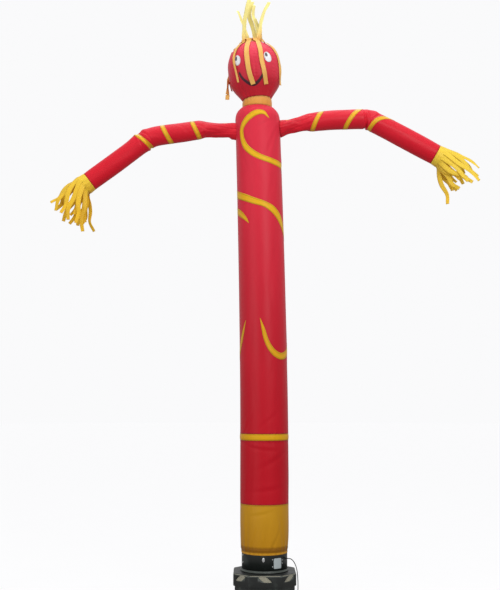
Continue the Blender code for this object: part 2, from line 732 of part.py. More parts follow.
def tuft(name, collar, strips, finish, narrowing, wall=STRIP_THICK):
    """Collar with a strip growing out of each slot of its far rim, in one piece."""
    collar = np.asarray(collar, dtype=float)
    count, slots = collar.shape[:2]
    inner = collar - surface_normals(collar) * wall
    points, faces = shell_mesh(collar, inner)
    points = list(points)
    shift = count * slots
    last = (count - 1) * slots
    for slot, (path, width, facing) in strips.items():
        j = (slot + 1) % slots
        root = [last + slot, last + j, shift + last + j, shift + last + slot]
        faces.remove(tuple(root))
        corners = [np.array(points[i]) for i in root]
        middle = sum(corners) / 4.0
        full = np.vstack((middle, path))
        before = root
        for section in strip_sections(corners, full, width, wall, facing, narrowing):
            now = list(range(len(points), len(points) + 4))
            points += section
            for a in range(4):
                b = (a + 1) % 4
                faces.append((before[a], before[b], now[b], now[a]))
            before = now
        faces.append(tuple(before))
    return add_object(name, points, faces, finish)


# Falling hair: slot, width, then azimuth and height along the head of each point
HAIR_FALLING = (
    (5, 0.052, ((-14, 0.540), (-15, 0.455), (-15, 0.358), (-13, 0.206), (-8, 0.096))),
    (6, 0.050, ((18, 0.540), (15, 0.430), (15, 0.305), (19, 0.190), (26, 0.094))),
    (4, 0.030, ((-46, 0.530), (-47, 0.456), (-48, 0.369), (-43, 0.238), (-45, 0.140))),
    (3, 0.030, ((-76, 0.530), (-84, 0.440), (-88, 0.330), (-88, 0.240), (-86, 0.200))),
    (8, 0.044, ((66, 0.530), (68, 0.430), (70, 0.330), (70, 0.240), (73, 0.170))),
    (2, 0.030, ((-108, 0.530), (-112, 0.430), (-114, 0.320), (-112, 0.220), (-110, 0.150))),
)

# How far the loose ends of the outermost falling strips hang below the head
HAIR_HANGING = {3: 0.215, 8: 0.070, 2: 0.085}
HANG_TURN_Z = 5.025
HANG_TURN_LENGTH = 0.100

# Standing hair: slot, width, then x, y and z of each point
HAIR_STANDING = (
    (1, 0.036, ((-0.196, 0.055, 5.560), (-0.203, 0.045, 5.690), (-0.165, 0.030, 5.815),
                (-0.112, 0.020, 5.950))),
    (0, 0.026, ((-0.158, 0.098, 5.580), (-0.196, 0.120, 5.680), (-0.236, 0.135, 5.750),
                (-0.268, 0.140, 5.812))),
    (11, 0.038, ((-0.106, 0.096, 5.580), (-0.128, 0.092, 5.700), (-0.160, 0.090, 5.815),
                 (-0.140, 0.085, 5.955))),
    (10, 0.034, ((-0.062, 0.070, 5.590), (-0.082, 0.064, 5.690), (-0.118, 0.060, 5.800),
                 (-0.098, 0.056, 5.905))),
    (9, 0.024, ((-0.028, 0.030, 5.585), (-0.052, 0.020, 5.660), (-0.088, 0.000, 5.735))),
    (7, 0.038, ((-0.040, -0.060, 5.560), (-0.026, -0.050, 5.680), (0.014, -0.045, 5.800),
                (0.060, -0.040, 5.885))),
)


def hair_slot_azimuth(slot):
    return -165.0 + slot * 360.0 / HAIR_SLOTS


def head_level(point):
    """Direction round the head, square to its axis, at a point near it."""
    up = np.array([-math.sin(HEAD_TILT), 0.0, math.cos(HEAD_TILT)])
    way = np.cross(up, point - np.array(HEAD_SEAT))
    return way / np.linalg.norm(way)


def hanging(point):
    """Round the head above, and turned to the front where the strip hangs free."""
    level = head_level(point)
    share = min(1.0, max(0.0, (HANG_TURN_Z - point[2]) / HANG_TURN_LENGTH))
    way = level * (1.0 - share) + np.array([math.copysign(share, level[0]), 0.0, 0.0])
    return way / np.linalg.norm(way)


def steady(direction):
    """The same facing at every point of a strip."""
    way = np.array(direction, dtype=float)
    way /= np.linalg.norm(way)
    return lambda point: way


def make_hair(yellow):
    """Collar sewn round the crown's vent, with one strip from each slot."""
    first = -180.0
    collar = []
    base = HEAD_CENTRE + HEAD_RADIUS * math.sin(math.radians(VENT_ANGLE)) + GAP
    rim = HEAD_RADIUS * math.cos(math.radians(VENT_ANGLE))
    for rise, radius in ((0.0, rim), (0.018, rim - 0.003)):
        collar.append([head_point(first + k * 360.0 / HAIR_SLOTS, base + rise, radius)
                       for k in range(HAIR_SLOTS)])
    strips = {}
    for slot, width, rows in HAIR_FALLING:
        azimuth = hair_slot_azimuth(slot)
        route = [head_point(azimuth, base + 0.032, rim + 0.002),
                 head_point(azimuth, base + 0.030, rim + 0.024)]
        route += [over_head(a, s, HAIR_LIFT) for a, s in rows]
        if slot in HAIR_HANGING:
            low = np.array(route[-1]) - np.array([0.0, 0.0, HAIR_HANGING[slot]])
            route.append((route[-1] + low) / 2.0)
            route.append(low)
        path = even_path(route, 0.048)
        facing = hanging if slot in HAIR_HANGING else head_level
        strips[slot] = (path, (width, 0.85), facing)
    for slot, width, rows in HAIR_STANDING:
        azimuth = hair_slot_azimuth(slot)
        route = [head_point(azimuth, base + 0.034, rim - 0.004)] + [np.array(r) for r in rows]
        strips[slot] = (even_path(route, 0.070), (width, 0.90), steady((1.0, 0.0, 0.0)))
    tuft("hair", collar, strips, yellow, 0.25)


# Hand strips: slot, bend sideways, then x, y and z of the tip from the wrist
HAND_LEFT = (
    (0, 0.02, (-0.376, 0.030, -0.215)), (1, -0.02, (-0.345, 0.090, -0.262)),
    (2, 0.02, (-0.277, 0.120, -0.370)), (3, -0.02, (-0.214, 0.140, -0.398)),
    (4, 0.02, (-0.140, 0.120, -0.415)), (5, -0.02, (-0.078, 0.070, -0.427)),
    (6, 0.02, (0.040, 0.000, -0.502)), (7, -0.02, (-0.042, -0.075, -0.508)),
    (8, 0.02, (-0.105, -0.125, -0.440)), (9, -0.02, (-0.180, -0.140, -0.405)),
    (10, 0.02, (-0.245, -0.125, -0.345)), (11, -0.02, (-0.320, -0.080, -0.300)),
)

HAND_RIGHT = (
    (0, 0.02, (0.412, -0.030, -0.155)), (1, -0.02, (0.405, -0.090, -0.236)),
    (2, 0.02, (0.392, -0.120, -0.300)), (3, -0.02, (0.335, -0.140, -0.308)),
    (4, 0.02, (0.292, -0.120, -0.300)), (5, -0.02, (0.217, -0.070, -0.357)),
    (6, 0.01, (0.118, 0.000, -0.505)), (7, -0.02, (0.172, 0.075, -0.357)),
    (8, 0.02, (0.240, 0.125, -0.330)), (9, -0.02, (0.300, 0.140, -0.270)),
    (10, 0.02, (0.350, 0.125, -0.225)), (11, -0.02, (0.390, 0.080, -0.170)),
)


def make_hand(name, rows, tips, yellow):
    """Cuff sewn into the open wrist, narrowing, then split into loose strips.

    The strips fan out side by side: each one faces along the line between
    the tips of its two neighbours.
    """
    wrist = np.array(rows[-1][:3])
    along = wrist - np.array(rows[-2][:3])
    along /= np.linalg.norm(along)
    radius = rows[-1][3]
    start = wrist + along * GAP
    collar = [ring_about(start, along, radius, HAND_SLOTS),
              ring_about(start + along * 0.025, along, radius * 1.02, HAND_SLOTS),
              ring_about(start + along * 0.055, along, radius * 1.06, HAND_SLOTS)]
    rim = np.array(collar[-1])
    strips = {}
    for slot, bend, offset in tips:
        middle = (rim[slot] + rim[(slot + 1) % HAND_SLOTS]) / 2.0
        tip = wrist + np.array(offset)
        way = tip - middle
        size = np.linalg.norm(way)
        side = np.cross(way, (0.0, 1.0, 0.0))
        side /= np.linalg.norm(side)
        first = middle + along * 0.030
        route = [first, middle + way * 0.38 + along * 0.06 * size + side * bend * 0.4,
                 middle + way * 0.72 + along * 0.05 * size - side * bend, tip]
        beside = np.array(tips[(slot + 1) % HAND_SLOTS][2]) - np.array(tips[slot - 1][2])
        strips[slot] = (even_path(route, 0.065), (HAND_STRIP_WIDTH, 0.9), steady(beside))
    tuft(name, collar, strips, yellow, 0.45)


# The mains lead

CORD_EXIT_ANGLE = 65.0
CORD_EXIT_Z = 0.450
GLAND_LENGTH = 0.026

CORD_ROUTE = (
    (0.2330, -0.1244, 0.4496), (0.2440, -0.1300, 0.4470), (0.2600, -0.1355, 0.4355),
    (0.2760, -0.1375, 0.4130), (0.2900, -0.1360, 0.3820), (0.2995, -0.1300, 0.3430),
    (0.3055, -0.1190, 0.2900), (0.3090, -0.1030, 0.2350), (0.3100, -0.0830, 0.1780),
    (0.3090, -0.0600, 0.1230), (0.3085, -0.0330, 0.0720), (0.3090, 0.0010, 0.0320),
    (0.3120, 0.0400, 0.0110), (0.3150, 0.0850, 0.0043), (0.3150, 0.1400, 0.0042),
    (0.3070, 0.2000, 0.0042), (0.2880, 0.2600, 0.0042), (0.2550, 0.3160, 0.0042),
    (0.2120, 0.3600, 0.0042), (0.1640, 0.3760, 0.0042), (0.1200, 0.3680, 0.0042),
    (0.0900, 0.3660, 0.0042),
)


def drum_out(angle):
    a = math.radians(angle)
    return np.array([math.sin(a), -math.cos(a), 0.0])


def make_gland(rubber):
    """Tapered strain relief where the lead leaves the drum."""
    facet = 360.0 / TUBE_SIDES
    angle = (math.floor(CORD_EXIT_ANGLE / facet) + 0.5) * facet
    out = drum_out(angle)
    flat = DRUM_RADIUS * math.cos(math.pi / TUBE_SIDES) + GAP
    start = out * flat + np.array([0.0, 0.0, CORD_EXIT_Z])
    rings = [ring_about(start + out * step, out, radius, 12)
             for step, radius in ((0.0, 0.0110), (0.0040, 0.0110), (0.0045, 0.0078),
                                  (GLAND_LENGTH - 0.001, 0.0056), (GLAND_LENGTH, 0.0050))]
    solid_loft("cord_gland", rings, rubber)
    return start + out * GLAND_LENGTH, out


def make_cord(rubber, end, out):
    route = [end + out * GAP, end + out * 0.012]
    route += [np.array(row) for row in CORD_ROUTE]
    path = even_path(route, 0.024)
    curve = bpy.data.curves.new("cord", "CURVE")
    curve.dimensions = "3D"
    curve.bevel_depth = CORD_RADIUS
    curve.bevel_resolution = 2
    curve.use_fill_caps = True
    line = curve.splines.new("POLY")
    line.points.add(len(path) - 1)
    for point, spot in zip(line.points, path):
        point.co = (*spot, 1.0)
    line.use_smooth = True
    made = bpy.data.objects.new("cord", curve)
    bpy.context.scene.collection.objects.link(made)
    curve.materials.append(rubber)


def make_coil(rubber):
    """Outer shape of the coiled spare lead, two turns wide and two high."""
    reach = 2.0 * CORD_RADIUS
    outline = [(1.0, 0.0), (1.0, 0.55), (0.70, 0.95), (-0.70, 0.95), (-1.0, 0.55), (-1.0, 0.0)]
    turn = circle_angles(COIL_SIDES)
    rings = []
    for out, rise in outline:
        radius = COIL_RADIUS + reach * out
        height = 0.0002 + rise * 4.0 * CORD_RADIUS
        rings.append(np.column_stack((COIL_PLACE[0] + radius * np.cos(turn),
                                      COIL_PLACE[1] + radius * np.sin(turn),
                                      np.full(COIL_SIDES, height))))
    rings = np.array(rings)
    count, sides = rings.shape[:2]
    faces = []
    for i in range(count):
        for k in range(sides):
            j = (k + 1) % sides
            low, high = i * sides, ((i + 1) % count) * sides
            faces.append((low + k, low + j, high + j, high + k))
    made = add_object("cord_coil", rings.reshape(-1, 3), faces, rubber)
    turn_outwards(made.data)


def make_plug(rubber, steel):
    """Two-pin plug lying flat beside the coil, in line with its last turn."""
    tail = np.array([COIL_PLACE[0] - 0.8 * COIL_RADIUS, COIL_PLACE[1] - COIL_RADIUS, 0.0])
    sections = ((0.000, 0.0050, 0.0122, 0.0050), (0.012, 0.0062, 0.0122, 0.0062),
                (0.020, 0.0130, 0.0122, 0.0100), (0.040, 0.0160, 0.0122, 0.0110),
                (0.046, 0.0140, 0.0122, 0.0100))
    rings = []
    turn = circle_angles(12)
    for step, half_width, middle, half_height in sections:
        spread = np.sign(np.sin(turn)) * np.abs(np.sin(turn)) ** 0.7
        rise = np.sign(np.cos(turn)) * np.abs(np.cos(turn)) ** 0.7
        rings.append(np.column_stack((np.full(12, tail[0] - step), tail[1] - half_width * spread,
                                      middle + half_height * rise)))
    made = solid_loft("plug", rings, rubber)
    turn_outwards(made.data)
    for index, side in enumerate((-1.0, 1.0)):
        centre = tail + np.array([-0.0463, side * 0.0080, 0.0122])
        pin = [ring_about(centre - np.array([step, 0.0, 0.0]), (-1.0, 0.0, 0.0), radius, 8)
               for step, radius in ((0.0, 0.0024), (0.0175, 0.0024), (0.0190, 0.0014))]
        solid_loft(f"plug_pin_{index + 1}", pin, steel)


def main():
    clear_scene()
    red = finish_material("red nylon", RED, 0.55)
    yellow = finish_material("yellow nylon", YELLOW, 0.55)
    ochre = finish_material("ochre nylon", OCHRE, 0.60)
    black = finish_material("black moulding", BLACK, 0.45)
    rubber = finish_material("black rubber", RUBBER, 0.70)
    pale = finish_material("pale plate", PALE, 0.40)
    steel = finish_material("zinc steel", STEEL, 0.35, 0.9)
    white = finish_material("white nylon", WHITE, 0.60)
    grey = finish_material("grey nylon", (0.12, 0.13, 0.13), 0.60)
    dark = finish_material("black nylon", (0.03, 0.02, 0.03), 0.60)

    make_housing(black, rubber, steel)
    make_drum(black, pale, steel)
    make_skirt(ochre)
    make_lower_tube(red, yellow)
    make_trunk(red)
    make_swirls(yellow)
    make_neck(yellow)
    cloth_tube("head", head_rings(), red, split=True)
    make_face(white, grey, dark)
    make_hair(yellow)
    make_arm("arm_left", ARM_LEFT, red)
    make_arm("arm_right", ARM_RIGHT, red)
    make_arm_bands(yellow)
    make_hand("hand_left", ARM_LEFT, HAND_LEFT, yellow)
    make_hand("hand_right", ARM_RIGHT, HAND_RIGHT, yellow)
    end, out = make_gland(rubber)
    make_cord(rubber, end, out)
    make_coil(rubber)
    make_plug(rubber, steel)


main()
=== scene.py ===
# %% [markdown]
# # An air dancer on its blower
# The real object is a tall tube of thin coated nylon, sewn to a round head,
# two limp arms and bundles of nylon strips, and tied over the collar of a
# floor fan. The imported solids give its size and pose. This lesson dresses
# them: the cloth becomes fine surfaces worked out with numpy, the blower gets
# rounded mouldings, and every finish is built from shader nodes.

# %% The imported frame
import math

import bmesh
import bpy
import numpy as np
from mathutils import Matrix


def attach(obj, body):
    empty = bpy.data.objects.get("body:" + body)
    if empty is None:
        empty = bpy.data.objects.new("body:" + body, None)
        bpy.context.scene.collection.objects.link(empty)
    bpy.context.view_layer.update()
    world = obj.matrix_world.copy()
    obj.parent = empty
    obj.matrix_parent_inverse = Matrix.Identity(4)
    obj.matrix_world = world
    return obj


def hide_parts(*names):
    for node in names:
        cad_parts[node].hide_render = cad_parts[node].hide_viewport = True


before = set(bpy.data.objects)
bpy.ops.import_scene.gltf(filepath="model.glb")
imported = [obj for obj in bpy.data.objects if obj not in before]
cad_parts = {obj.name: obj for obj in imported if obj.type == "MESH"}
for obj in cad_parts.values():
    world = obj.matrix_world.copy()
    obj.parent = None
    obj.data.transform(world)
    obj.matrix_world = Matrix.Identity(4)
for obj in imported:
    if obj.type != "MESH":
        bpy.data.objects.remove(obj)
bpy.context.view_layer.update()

# %% [markdown]
# ## Camera, floor and light
# A standing photographer looked up a little at the dancer, and the picture's
# lower edge cuts the blower. The lens is stated as a focal length in pixels,
# because that is how it was worked out, and turned into millimetres here. The
# floor is one pale disc, and the light is a soft grey-white sky with three
# lamps: a large one to the right of the camera, which gives the tube its
# broad, upright highlight, a weaker one on the left, and a wide one above.

# %% Camera at the photo's place
PICTURE_HEIGHT = 590
FOCAL_PIXELS = 920.0
SENSOR = 24.0
CAMERA_PLACE = (-0.1366, -8.9, 1.915)
CAMERA_PITCH = 6.51
FULL_TURN = 2.0 * math.pi

camera_data = bpy.data.cameras.new("camera")
camera_data.sensor_width = SENSOR
camera_data.lens = SENSOR * FOCAL_PIXELS / PICTURE_HEIGHT
camera = bpy.data.objects.new("camera", camera_data)
camera.location = CAMERA_PLACE
camera.rotation_euler = (math.radians(90.0 + CAMERA_PITCH), 0.0, 0.0)
bpy.context.scene.collection.objects.link(camera)
bpy.context.scene.camera = camera
bpy.context.scene.view_settings.view_transform = "Standard"
print("lens:", round(camera_data.lens, 2), "mm")

# %% Colours and shader helpers
def paint(red, green, blue):
    """Linear colour from the 0 to 255 values that an eye or a paint card gives."""
    value = np.array([red, green, blue]) / 255.0
    linear = np.where(value <= 0.04045, value / 12.92, ((value + 0.055) / 1.055) ** 2.4)
    return (*linear.tolist(), 1.0)


def plug_in(tree, target, value):
    """Links a socket to the target, or sets the target's own value."""
    if isinstance(value, bpy.types.NodeSocket):
        tree.links.new(value, target)
    else:
        target.default_value = value


def calculate(tree, operation, *values, clamp=False):
    """One Math node: each value is a number or another node's output."""
    node = tree.nodes.new("ShaderNodeMath")
    node.operation = operation
    node.use_clamp = clamp
    for target, value in zip(node.inputs, values):
        plug_in(tree, target, value)
    return node.outputs[0]


def blend_colours(tree, share, first, second, kind="MIX"):
    """First colour where the share is 0 and second where it is 1."""
    node = tree.nodes.new("ShaderNodeMix")
    node.data_type = "RGBA"
    node.blend_type = kind
    plug_in(tree, node.inputs[0], share)
    plug_in(tree, node.inputs[6], first)
    plug_in(tree, node.inputs[7], second)
    return node.outputs[2]


def ramp(tree, value, low, high):
    """0 below low, 1 above high, with a smooth step between them."""
    node = tree.nodes.new("ShaderNodeMapRange")
    node.interpolation_type = "SMOOTHSTEP"
    plug_in(tree, node.inputs["Value"], value)
    node.inputs["From Min"].default_value = low
    node.inputs["From Max"].default_value = high
    return node.outputs["Result"]


def new_finish(name, roughness, metallic=0.0):
    """Material with an empty Principled shader, and its node tree."""
    made = bpy.data.materials.new(name)
    made.use_nodes = True
    shader = made.node_tree.nodes["Principled BSDF"]
    shader.inputs["Roughness"].default_value = roughness
    shader.inputs["Metallic"].default_value = metallic
    return made, made.node_tree, shader


def raise_surface(tree, shader, height, distance, strength=1.0):
    """Bump from a height of 0 to 1, where 1 stands for the distance in metres."""
    node = tree.nodes.new("ShaderNodeBump")
    node.inputs["Strength"].default_value = strength
    node.inputs["Distance"].default_value = distance
    tree.links.new(height, node.inputs["Height"])
    tree.links.new(node.outputs["Normal"], shader.inputs["Normal"])


def object_place(tree):
    return tree.nodes.new("ShaderNodeTexCoord").outputs["Object"]


def split_place(tree, vector):
    node = tree.nodes.new("ShaderNodeSeparateXYZ")
    tree.links.new(vector, node.inputs[0])
    return node.outputs


def map_of(tree, name):
    node = tree.nodes.new("ShaderNodeUVMap")
    node.uv_map = name
    return node.outputs[0]


def upward_tilt(tree):
    """How far the surface faces upwards: 1 for level and 0 for upright."""
    return split_place(tree, tree.nodes.new("ShaderNodeNewGeometry").outputs["Normal"])[2]


def noise(tree, place, scale, detail=2.0, distortion=0.0):
    """Grey value of one Noise node."""
    node = tree.nodes.new("ShaderNodeTexNoise")
    node.inputs["Scale"].default_value = scale
    node.inputs["Detail"].default_value = detail
    node.inputs["Distortion"].default_value = distortion
    tree.links.new(place, node.inputs["Vector"])
    return node.outputs["Fac"]


def one_minus(tree, value, clamp=False):
    return calculate(tree, "SUBTRACT", 1.0, value, clamp=clamp)


def lay_over(tree, colour, mask, strength, other, kind="MIX"):
    """Another colour over the first one where the mask is 1, at a strength."""
    return blend_colours(tree, calculate(tree, "MULTIPLY", mask, strength), colour, other, kind)


print("helpers ready")

# %% Floor, sky and lamps
FLOOR_RADIUS = 70.0
FLOOR_SIDES = 96


def pale_floor():
    """Flat disc: a ring of points at one radius, joined into a single face."""
    turn = np.linspace(0.0, FULL_TURN, FLOOR_SIDES, endpoint=False)
    ring = np.column_stack((np.cos(turn), np.sin(turn), np.zeros(FLOOR_SIDES))) * FLOOR_RADIUS
    mesh = bpy.data.meshes.new("floor")
    mesh.from_pydata(ring.tolist(), [], [tuple(range(FLOOR_SIDES))])
    floor = bpy.data.objects.new("floor", mesh)
    bpy.context.scene.collection.objects.link(floor)
    finish, tree, shader = new_finish("pale floor", 0.9)
    grain = noise(tree, object_place(tree), 1.5)
    tone = blend_colours(tree, grain, paint(96, 96, 96), paint(102, 102, 102))
    tree.links.new(tone, shader.inputs["Base Color"])
    path = tree.nodes.new("ShaderNodeLightPath")
    seen = path.outputs["Is Camera Ray"]
    glow = blend_colours(tree, seen, paint(124, 122, 121), paint(240, 240, 241))
    tree.links.new(glow, shader.inputs["Emission Color"])
    shader.inputs["Emission Strength"].default_value = 1.0
    shader.inputs["Specular IOR Level"].default_value = 0.05
    mesh.materials.append(finish)


def soft_sky(seen, lighting):
    """Even grey-white sky that lights less than it shows."""
    world = bpy.data.worlds.new("sky")
    bpy.context.scene.world = world
    world.use_nodes = True
    tree = world.node_tree
    back = tree.nodes["Background"]
    back.inputs["Color"].default_value = paint(250, 250, 251)
    path = tree.nodes.new("ShaderNodeLightPath")
    gain = calculate(tree, "MULTIPLY_ADD", path.outputs["Is Camera Ray"], seen - lighting, lighting)
    tree.links.new(gain, back.inputs["Strength"])


def soft_lamp(name, place, target, size, power):
    """Square area lamp that faces a point."""
    data = bpy.data.lights.new(name, "AREA")
    data.size = size
    data.energy = power
    lamp = bpy.data.objects.new(name, data)
    bpy.context.scene.collection.objects.link(lamp)
    lamp.location = place
    way = np.array(target) - np.array(place)
    lamp.rotation_euler = (math.atan2(math.hypot(way[0], way[1]), -way[2]), 0.0,
                           math.atan2(way[1], way[0]) - math.pi / 2.0)


pale_floor()
soft_sky(seen=1.0, lighting=0.63)
soft_lamp("key_lamp", (3.6, -8.0, 5.5), (0.0, 0.0, 3.0), 3.5, 225.0)
soft_lamp("fill_lamp", (-6.0, -7.0, 3.0), (0.0, 0.0, 2.0), 5.0, 150.0)
soft_lamp("top_lamp", (0.4, -1.5, 9.5), (0.0, 0.0, 4.0), 6.0, 185.0)
print("floor, sky and three lamps made")

# %% [markdown]
# ## The mains lead
# A real lead is one fixed length of round rubber cable. It leaves the drum
# through a tapered relief, falls beside the housing, runs along the floor and
# round the back, where the spare length lies in a small coil with the plug on
# its end. The route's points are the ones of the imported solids, joined by a
# smooth curve, and the coil's turns are worked out by a formula.

# %% The lead's route
CORD_RADIUS = 0.004
GLAND_FACET = 61.875
GLAND_TIP = 0.2398
LEAD_EXIT_Z = 0.450
LEAD_ROUTE = (
    (0.2330, -0.1244, 0.4496), (0.2440, -0.1300, 0.4470), (0.2600, -0.1355, 0.4355),
    (0.2760, -0.1375, 0.4130), (0.2900, -0.1360, 0.3820), (0.2995, -0.1300, 0.3430),
    (0.3055, -0.1190, 0.2900), (0.3090, -0.1030, 0.2350), (0.3100, -0.0830, 0.1780),
    (0.3090, -0.0600, 0.1230), (0.3085, -0.0330, 0.0720), (0.3090, 0.0010, 0.0320),
    (0.3120, 0.0400, 0.0110), (0.3150, 0.0850, 0.0043), (0.3150, 0.1400, 0.0042),
    (0.3070, 0.2000, 0.0042), (0.2880, 0.2600, 0.0042), (0.2550, 0.3160, 0.0042),
    (0.2120, 0.3600, 0.0042), (0.1640, 0.3760, 0.0042), (0.1200, 0.3680, 0.0042),
)
COIL_MIDDLE = (0.075, 0.420)
COIL_RADIUS = 0.044
COIL_START = (0.0900, 0.366)
COIL_TURNS = 3
PLUG_TAIL = (COIL_MIDDLE[0] - 0.8 * COIL_RADIUS, COIL_MIDDLE[1] - COIL_RADIUS, 0.0122)


def unit(vectors):
    return vectors / np.linalg.norm(vectors, axis=-1, keepdims=True)


def run_along(steps):
    """Distance covered so far, from a row of step lengths."""
    return np.concatenate(([0.0], np.cumsum(steps)))


def smooth_path(points, steps):
    """Catmull-Rom curve through rows of numbers, with even steps between rows."""
    rows = np.asarray(points, dtype=float)
    padded = np.vstack((2 * rows[0] - rows[1], rows, 2 * rows[-1] - rows[-2]))
    t = (np.arange(steps) / steps)[None, :, None]
    a, b, c, d = (padded[k:len(padded) - 3 + k, None, :] for k in range(4))
    curve = 0.5 * (2 * b + (c - a) * t + (2 * a - 5 * b + 4 * c - d) * t ** 2
                   + (3 * b - a - 3 * c + d) * t ** 3)
    return np.vstack((curve.reshape(-1, rows.shape[1]), rows[-1]))


def coil_points():
    """Clockwise turns: radius and height step inwards, then up onto the first two."""
    first = math.atan2(COIL_START[1] - COIL_MIDDLE[1], COIL_START[0] - COIL_MIDDLE[0])
    last = -math.pi / 2.0 - COIL_TURNS * FULL_TURN
    turn = np.linspace(first, last, 24 * COIL_TURNS)
    share = (turn - first) / (last - first) * COIL_TURNS
    radius = np.interp(share, (0.0, 0.16, 0.92, 1.10, 1.92, 2.10, 3.0),
                       (0.0560, 0.0480, 0.0480, 0.0400, 0.0400, 0.0440, 0.0440))
    height = np.interp(share, (0.0, 1.90, 2.12, 2.8, 3.0), (0.0042, 0.0042, 0.0112, 0.0112, 0.0128))
    return np.column_stack((COIL_MIDDLE[0] + radius * np.cos(turn),
                            COIL_MIDDLE[1] + radius * np.sin(turn), height))


def lead_points():
    """Relief's tip, the free route, the coil and the straight run into the plug."""
    facet = math.radians(GLAND_FACET)
    out = np.array([math.sin(facet), -math.cos(facet), 0.0])
    start = out * GLAND_TIP + np.array([0.0, 0.0, LEAD_EXIT_Z])
    ending = [(PLUG_TAIL[0] + 0.018, PLUG_TAIL[1], 0.0130), PLUG_TAIL]
    rows = np.vstack((start, start + out * 0.0117, LEAD_ROUTE, coil_points(), ending))
    return smooth_path(rows, 6)


lead_line = lead_points()

# %% The lead as one curve
def make_lead(line):
    """Open curve through the route, made round by a bevel of half the diameter."""
    curve = bpy.data.curves.new("mains_lead", "CURVE")
    curve.dimensions = "3D"
    curve.bevel_depth = CORD_RADIUS
    curve.bevel_resolution = 4
    curve.use_fill_caps = True
    spline = curve.splines.new("POLY")
    spline.points.add(len(line) - 1)
    spline.points.foreach_set("co", np.column_stack((line, np.ones(len(line)))).ravel())
    spline.use_smooth = True
    lead = bpy.data.objects.new("mains_lead", curve)
    bpy.context.scene.collection.objects.link(lead)
    return lead


mains_lead = make_lead(lead_line)
print("lead made")

# %% [markdown]
# ## Cloth as grids
# Every cloth piece here is a grid of points: rows run along it and columns
# run round or across it. One helper turns such grids into a mesh, stores a
# map in metres for the weave, and a second map that holds the run along the
# nearest sewn edge and the distance from it, so that stitches and folded
# seams can be drawn by the material at their real size. A Solidify modifier
# then gives the cloth its thickness, inwards.

# %% From grids to a sheet
CLOTH_THICK, STRIP_THICK, TRIM_THICK = 0.0008, 0.0006, 0.0005


def faces_out(points):
    """Whether the steps round and along a closed grid turn its faces outwards."""
    beside = np.roll(points, -1, axis=1) - points
    normal = np.cross(beside[:-1], np.diff(points, axis=0))
    return float((normal * (points - points.mean(1, keepdims=True))[:-1]).sum()) > 0.0


def steps_across(points, closed=True):
    """Lengths of the steps between columns, round a closed grid or across an open one."""
    beside = np.roll(points, -1, axis=1) if closed else points[:, 1:]
    return np.linalg.norm(beside - (points if closed else points[:, :-1]), axis=2)


def steps_down(points):
    """Lengths of the steps between rows."""
    return np.linalg.norm(np.diff(points, axis=0), axis=2)


def grid_maps(points, closed, sewn):
    """Faces and both maps of one grid, as whole arrays.

    Widths and lengths are the mean steps between columns and between rows.
    The seam map holds, for each corner, the run along the nearest sewn edge
    and the distance from it: the two ends, the two sides, both, or none.
    """
    rows, cols = points.shape[:2]
    index = np.arange(rows * cols).reshape(rows, cols)
    widths = steps_across(points, closed).mean(0)
    u, v = run_along(widths), run_along(steps_down(points).mean(1))
    left = index if closed else index[:, :-1]
    right = np.roll(index, -1, axis=1) if closed else index[:, 1:]
    quads = np.stack((left[:-1], right[:-1], right[1:], left[1:]), -1).reshape(-1, 4)
    row, col = np.meshgrid(np.arange(rows - 1), np.arange(len(widths)), indexing="ij")
    corner_u = u[np.stack((col, col + 1, col + 1, col), -1)]
    corner_v = v[np.stack((row, row, row + 1, row + 1), -1)]
    if closed and not faces_out(points):
        quads = quads[:, ::-1]
        corner_u, corner_v = corner_u[..., ::-1], corner_v[..., ::-1]
    from_ends = np.minimum(corner_v, v[-1] - corner_v)
    from_sides = np.minimum(corner_u, u[-1] - corner_u)
    far = np.full(corner_u.shape, 1.0)
    ends = from_ends if sewn in ("ends", "all") else far
    sides = from_sides if sewn in ("sides", "all") else far
    run = np.where(ends < sides, corner_u, corner_v)
    cloth_map = np.stack((corner_u, corner_v), -1).reshape(-1, 2)
    seam_map = np.stack((run, np.minimum(ends, sides)), -1).reshape(-1, 2)
    return quads, cloth_map, seam_map


def rework(mesh, change):
    """Opens a mesh for editing, changes it by a function, and stores the result."""
    work = bmesh.new()
    work.from_mesh(mesh)
    change(work)
    work.to_mesh(mesh)
    work.free()


def join_seams(work):
    bmesh.ops.remove_doubles(work, verts=work.verts, dist=0.0002)


def make_sheet(name, grids, finish, replaces, thick=CLOTH_THICK, weld=False):
    """Mesh from grids, each given as (points, closed, sewn), riding on the root."""
    places, faces, cloth_maps, seam_maps, count = [], [], [], [], 0
    for points, closed, sewn in grids:
        quads, cloth_map, seam_map = grid_maps(points, closed, sewn)
        places.append(points.reshape(-1, 3))
        faces.append(quads + count)
        cloth_maps.append(cloth_map)
        seam_maps.append(seam_map)
        count += len(places[-1])
    mesh = bpy.data.meshes.new(name)
    mesh.from_pydata(np.vstack(places).tolist(), [], np.vstack(faces).tolist())
    for label, values in (("cloth", cloth_maps), ("seam", seam_maps)):
        mesh.uv_layers.new(name=label).data.foreach_set("uv", np.vstack(values).ravel())
    if weld:
        rework(mesh, join_seams)
    mesh.shade_smooth()
    mesh.materials.append(finish)
    piece = bpy.data.objects.new(name, mesh)
    bpy.context.scene.collection.objects.link(piece)
    if thick:
        wall = piece.modifiers.new("cloth thickness", "SOLIDIFY")
        wall.thickness = thick
        wall.offset = -1.0
        wall.use_even_offset = True
    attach(piece, "root")
    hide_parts(*replaces)
    return piece


def measure(points):
    """Mean girth of a closed grid and its mean length, in metres."""
    girth, length = steps_across(points).sum(1).mean(), steps_down(points).sum(0).mean()
    return round(float(girth), 3), round(float(length), 3)


print("cloth helpers ready")

# %% [markdown]
# ## Finishes for nylon
# Coated nylon has fine threads with a heavier grid against tearing, a soft
# shine, and slight slackness that bends its reflections. Three effects are
# shared by all the cloth, so each one is a node group: the weave, the slack,
# and the stitched seam with its folded edge.

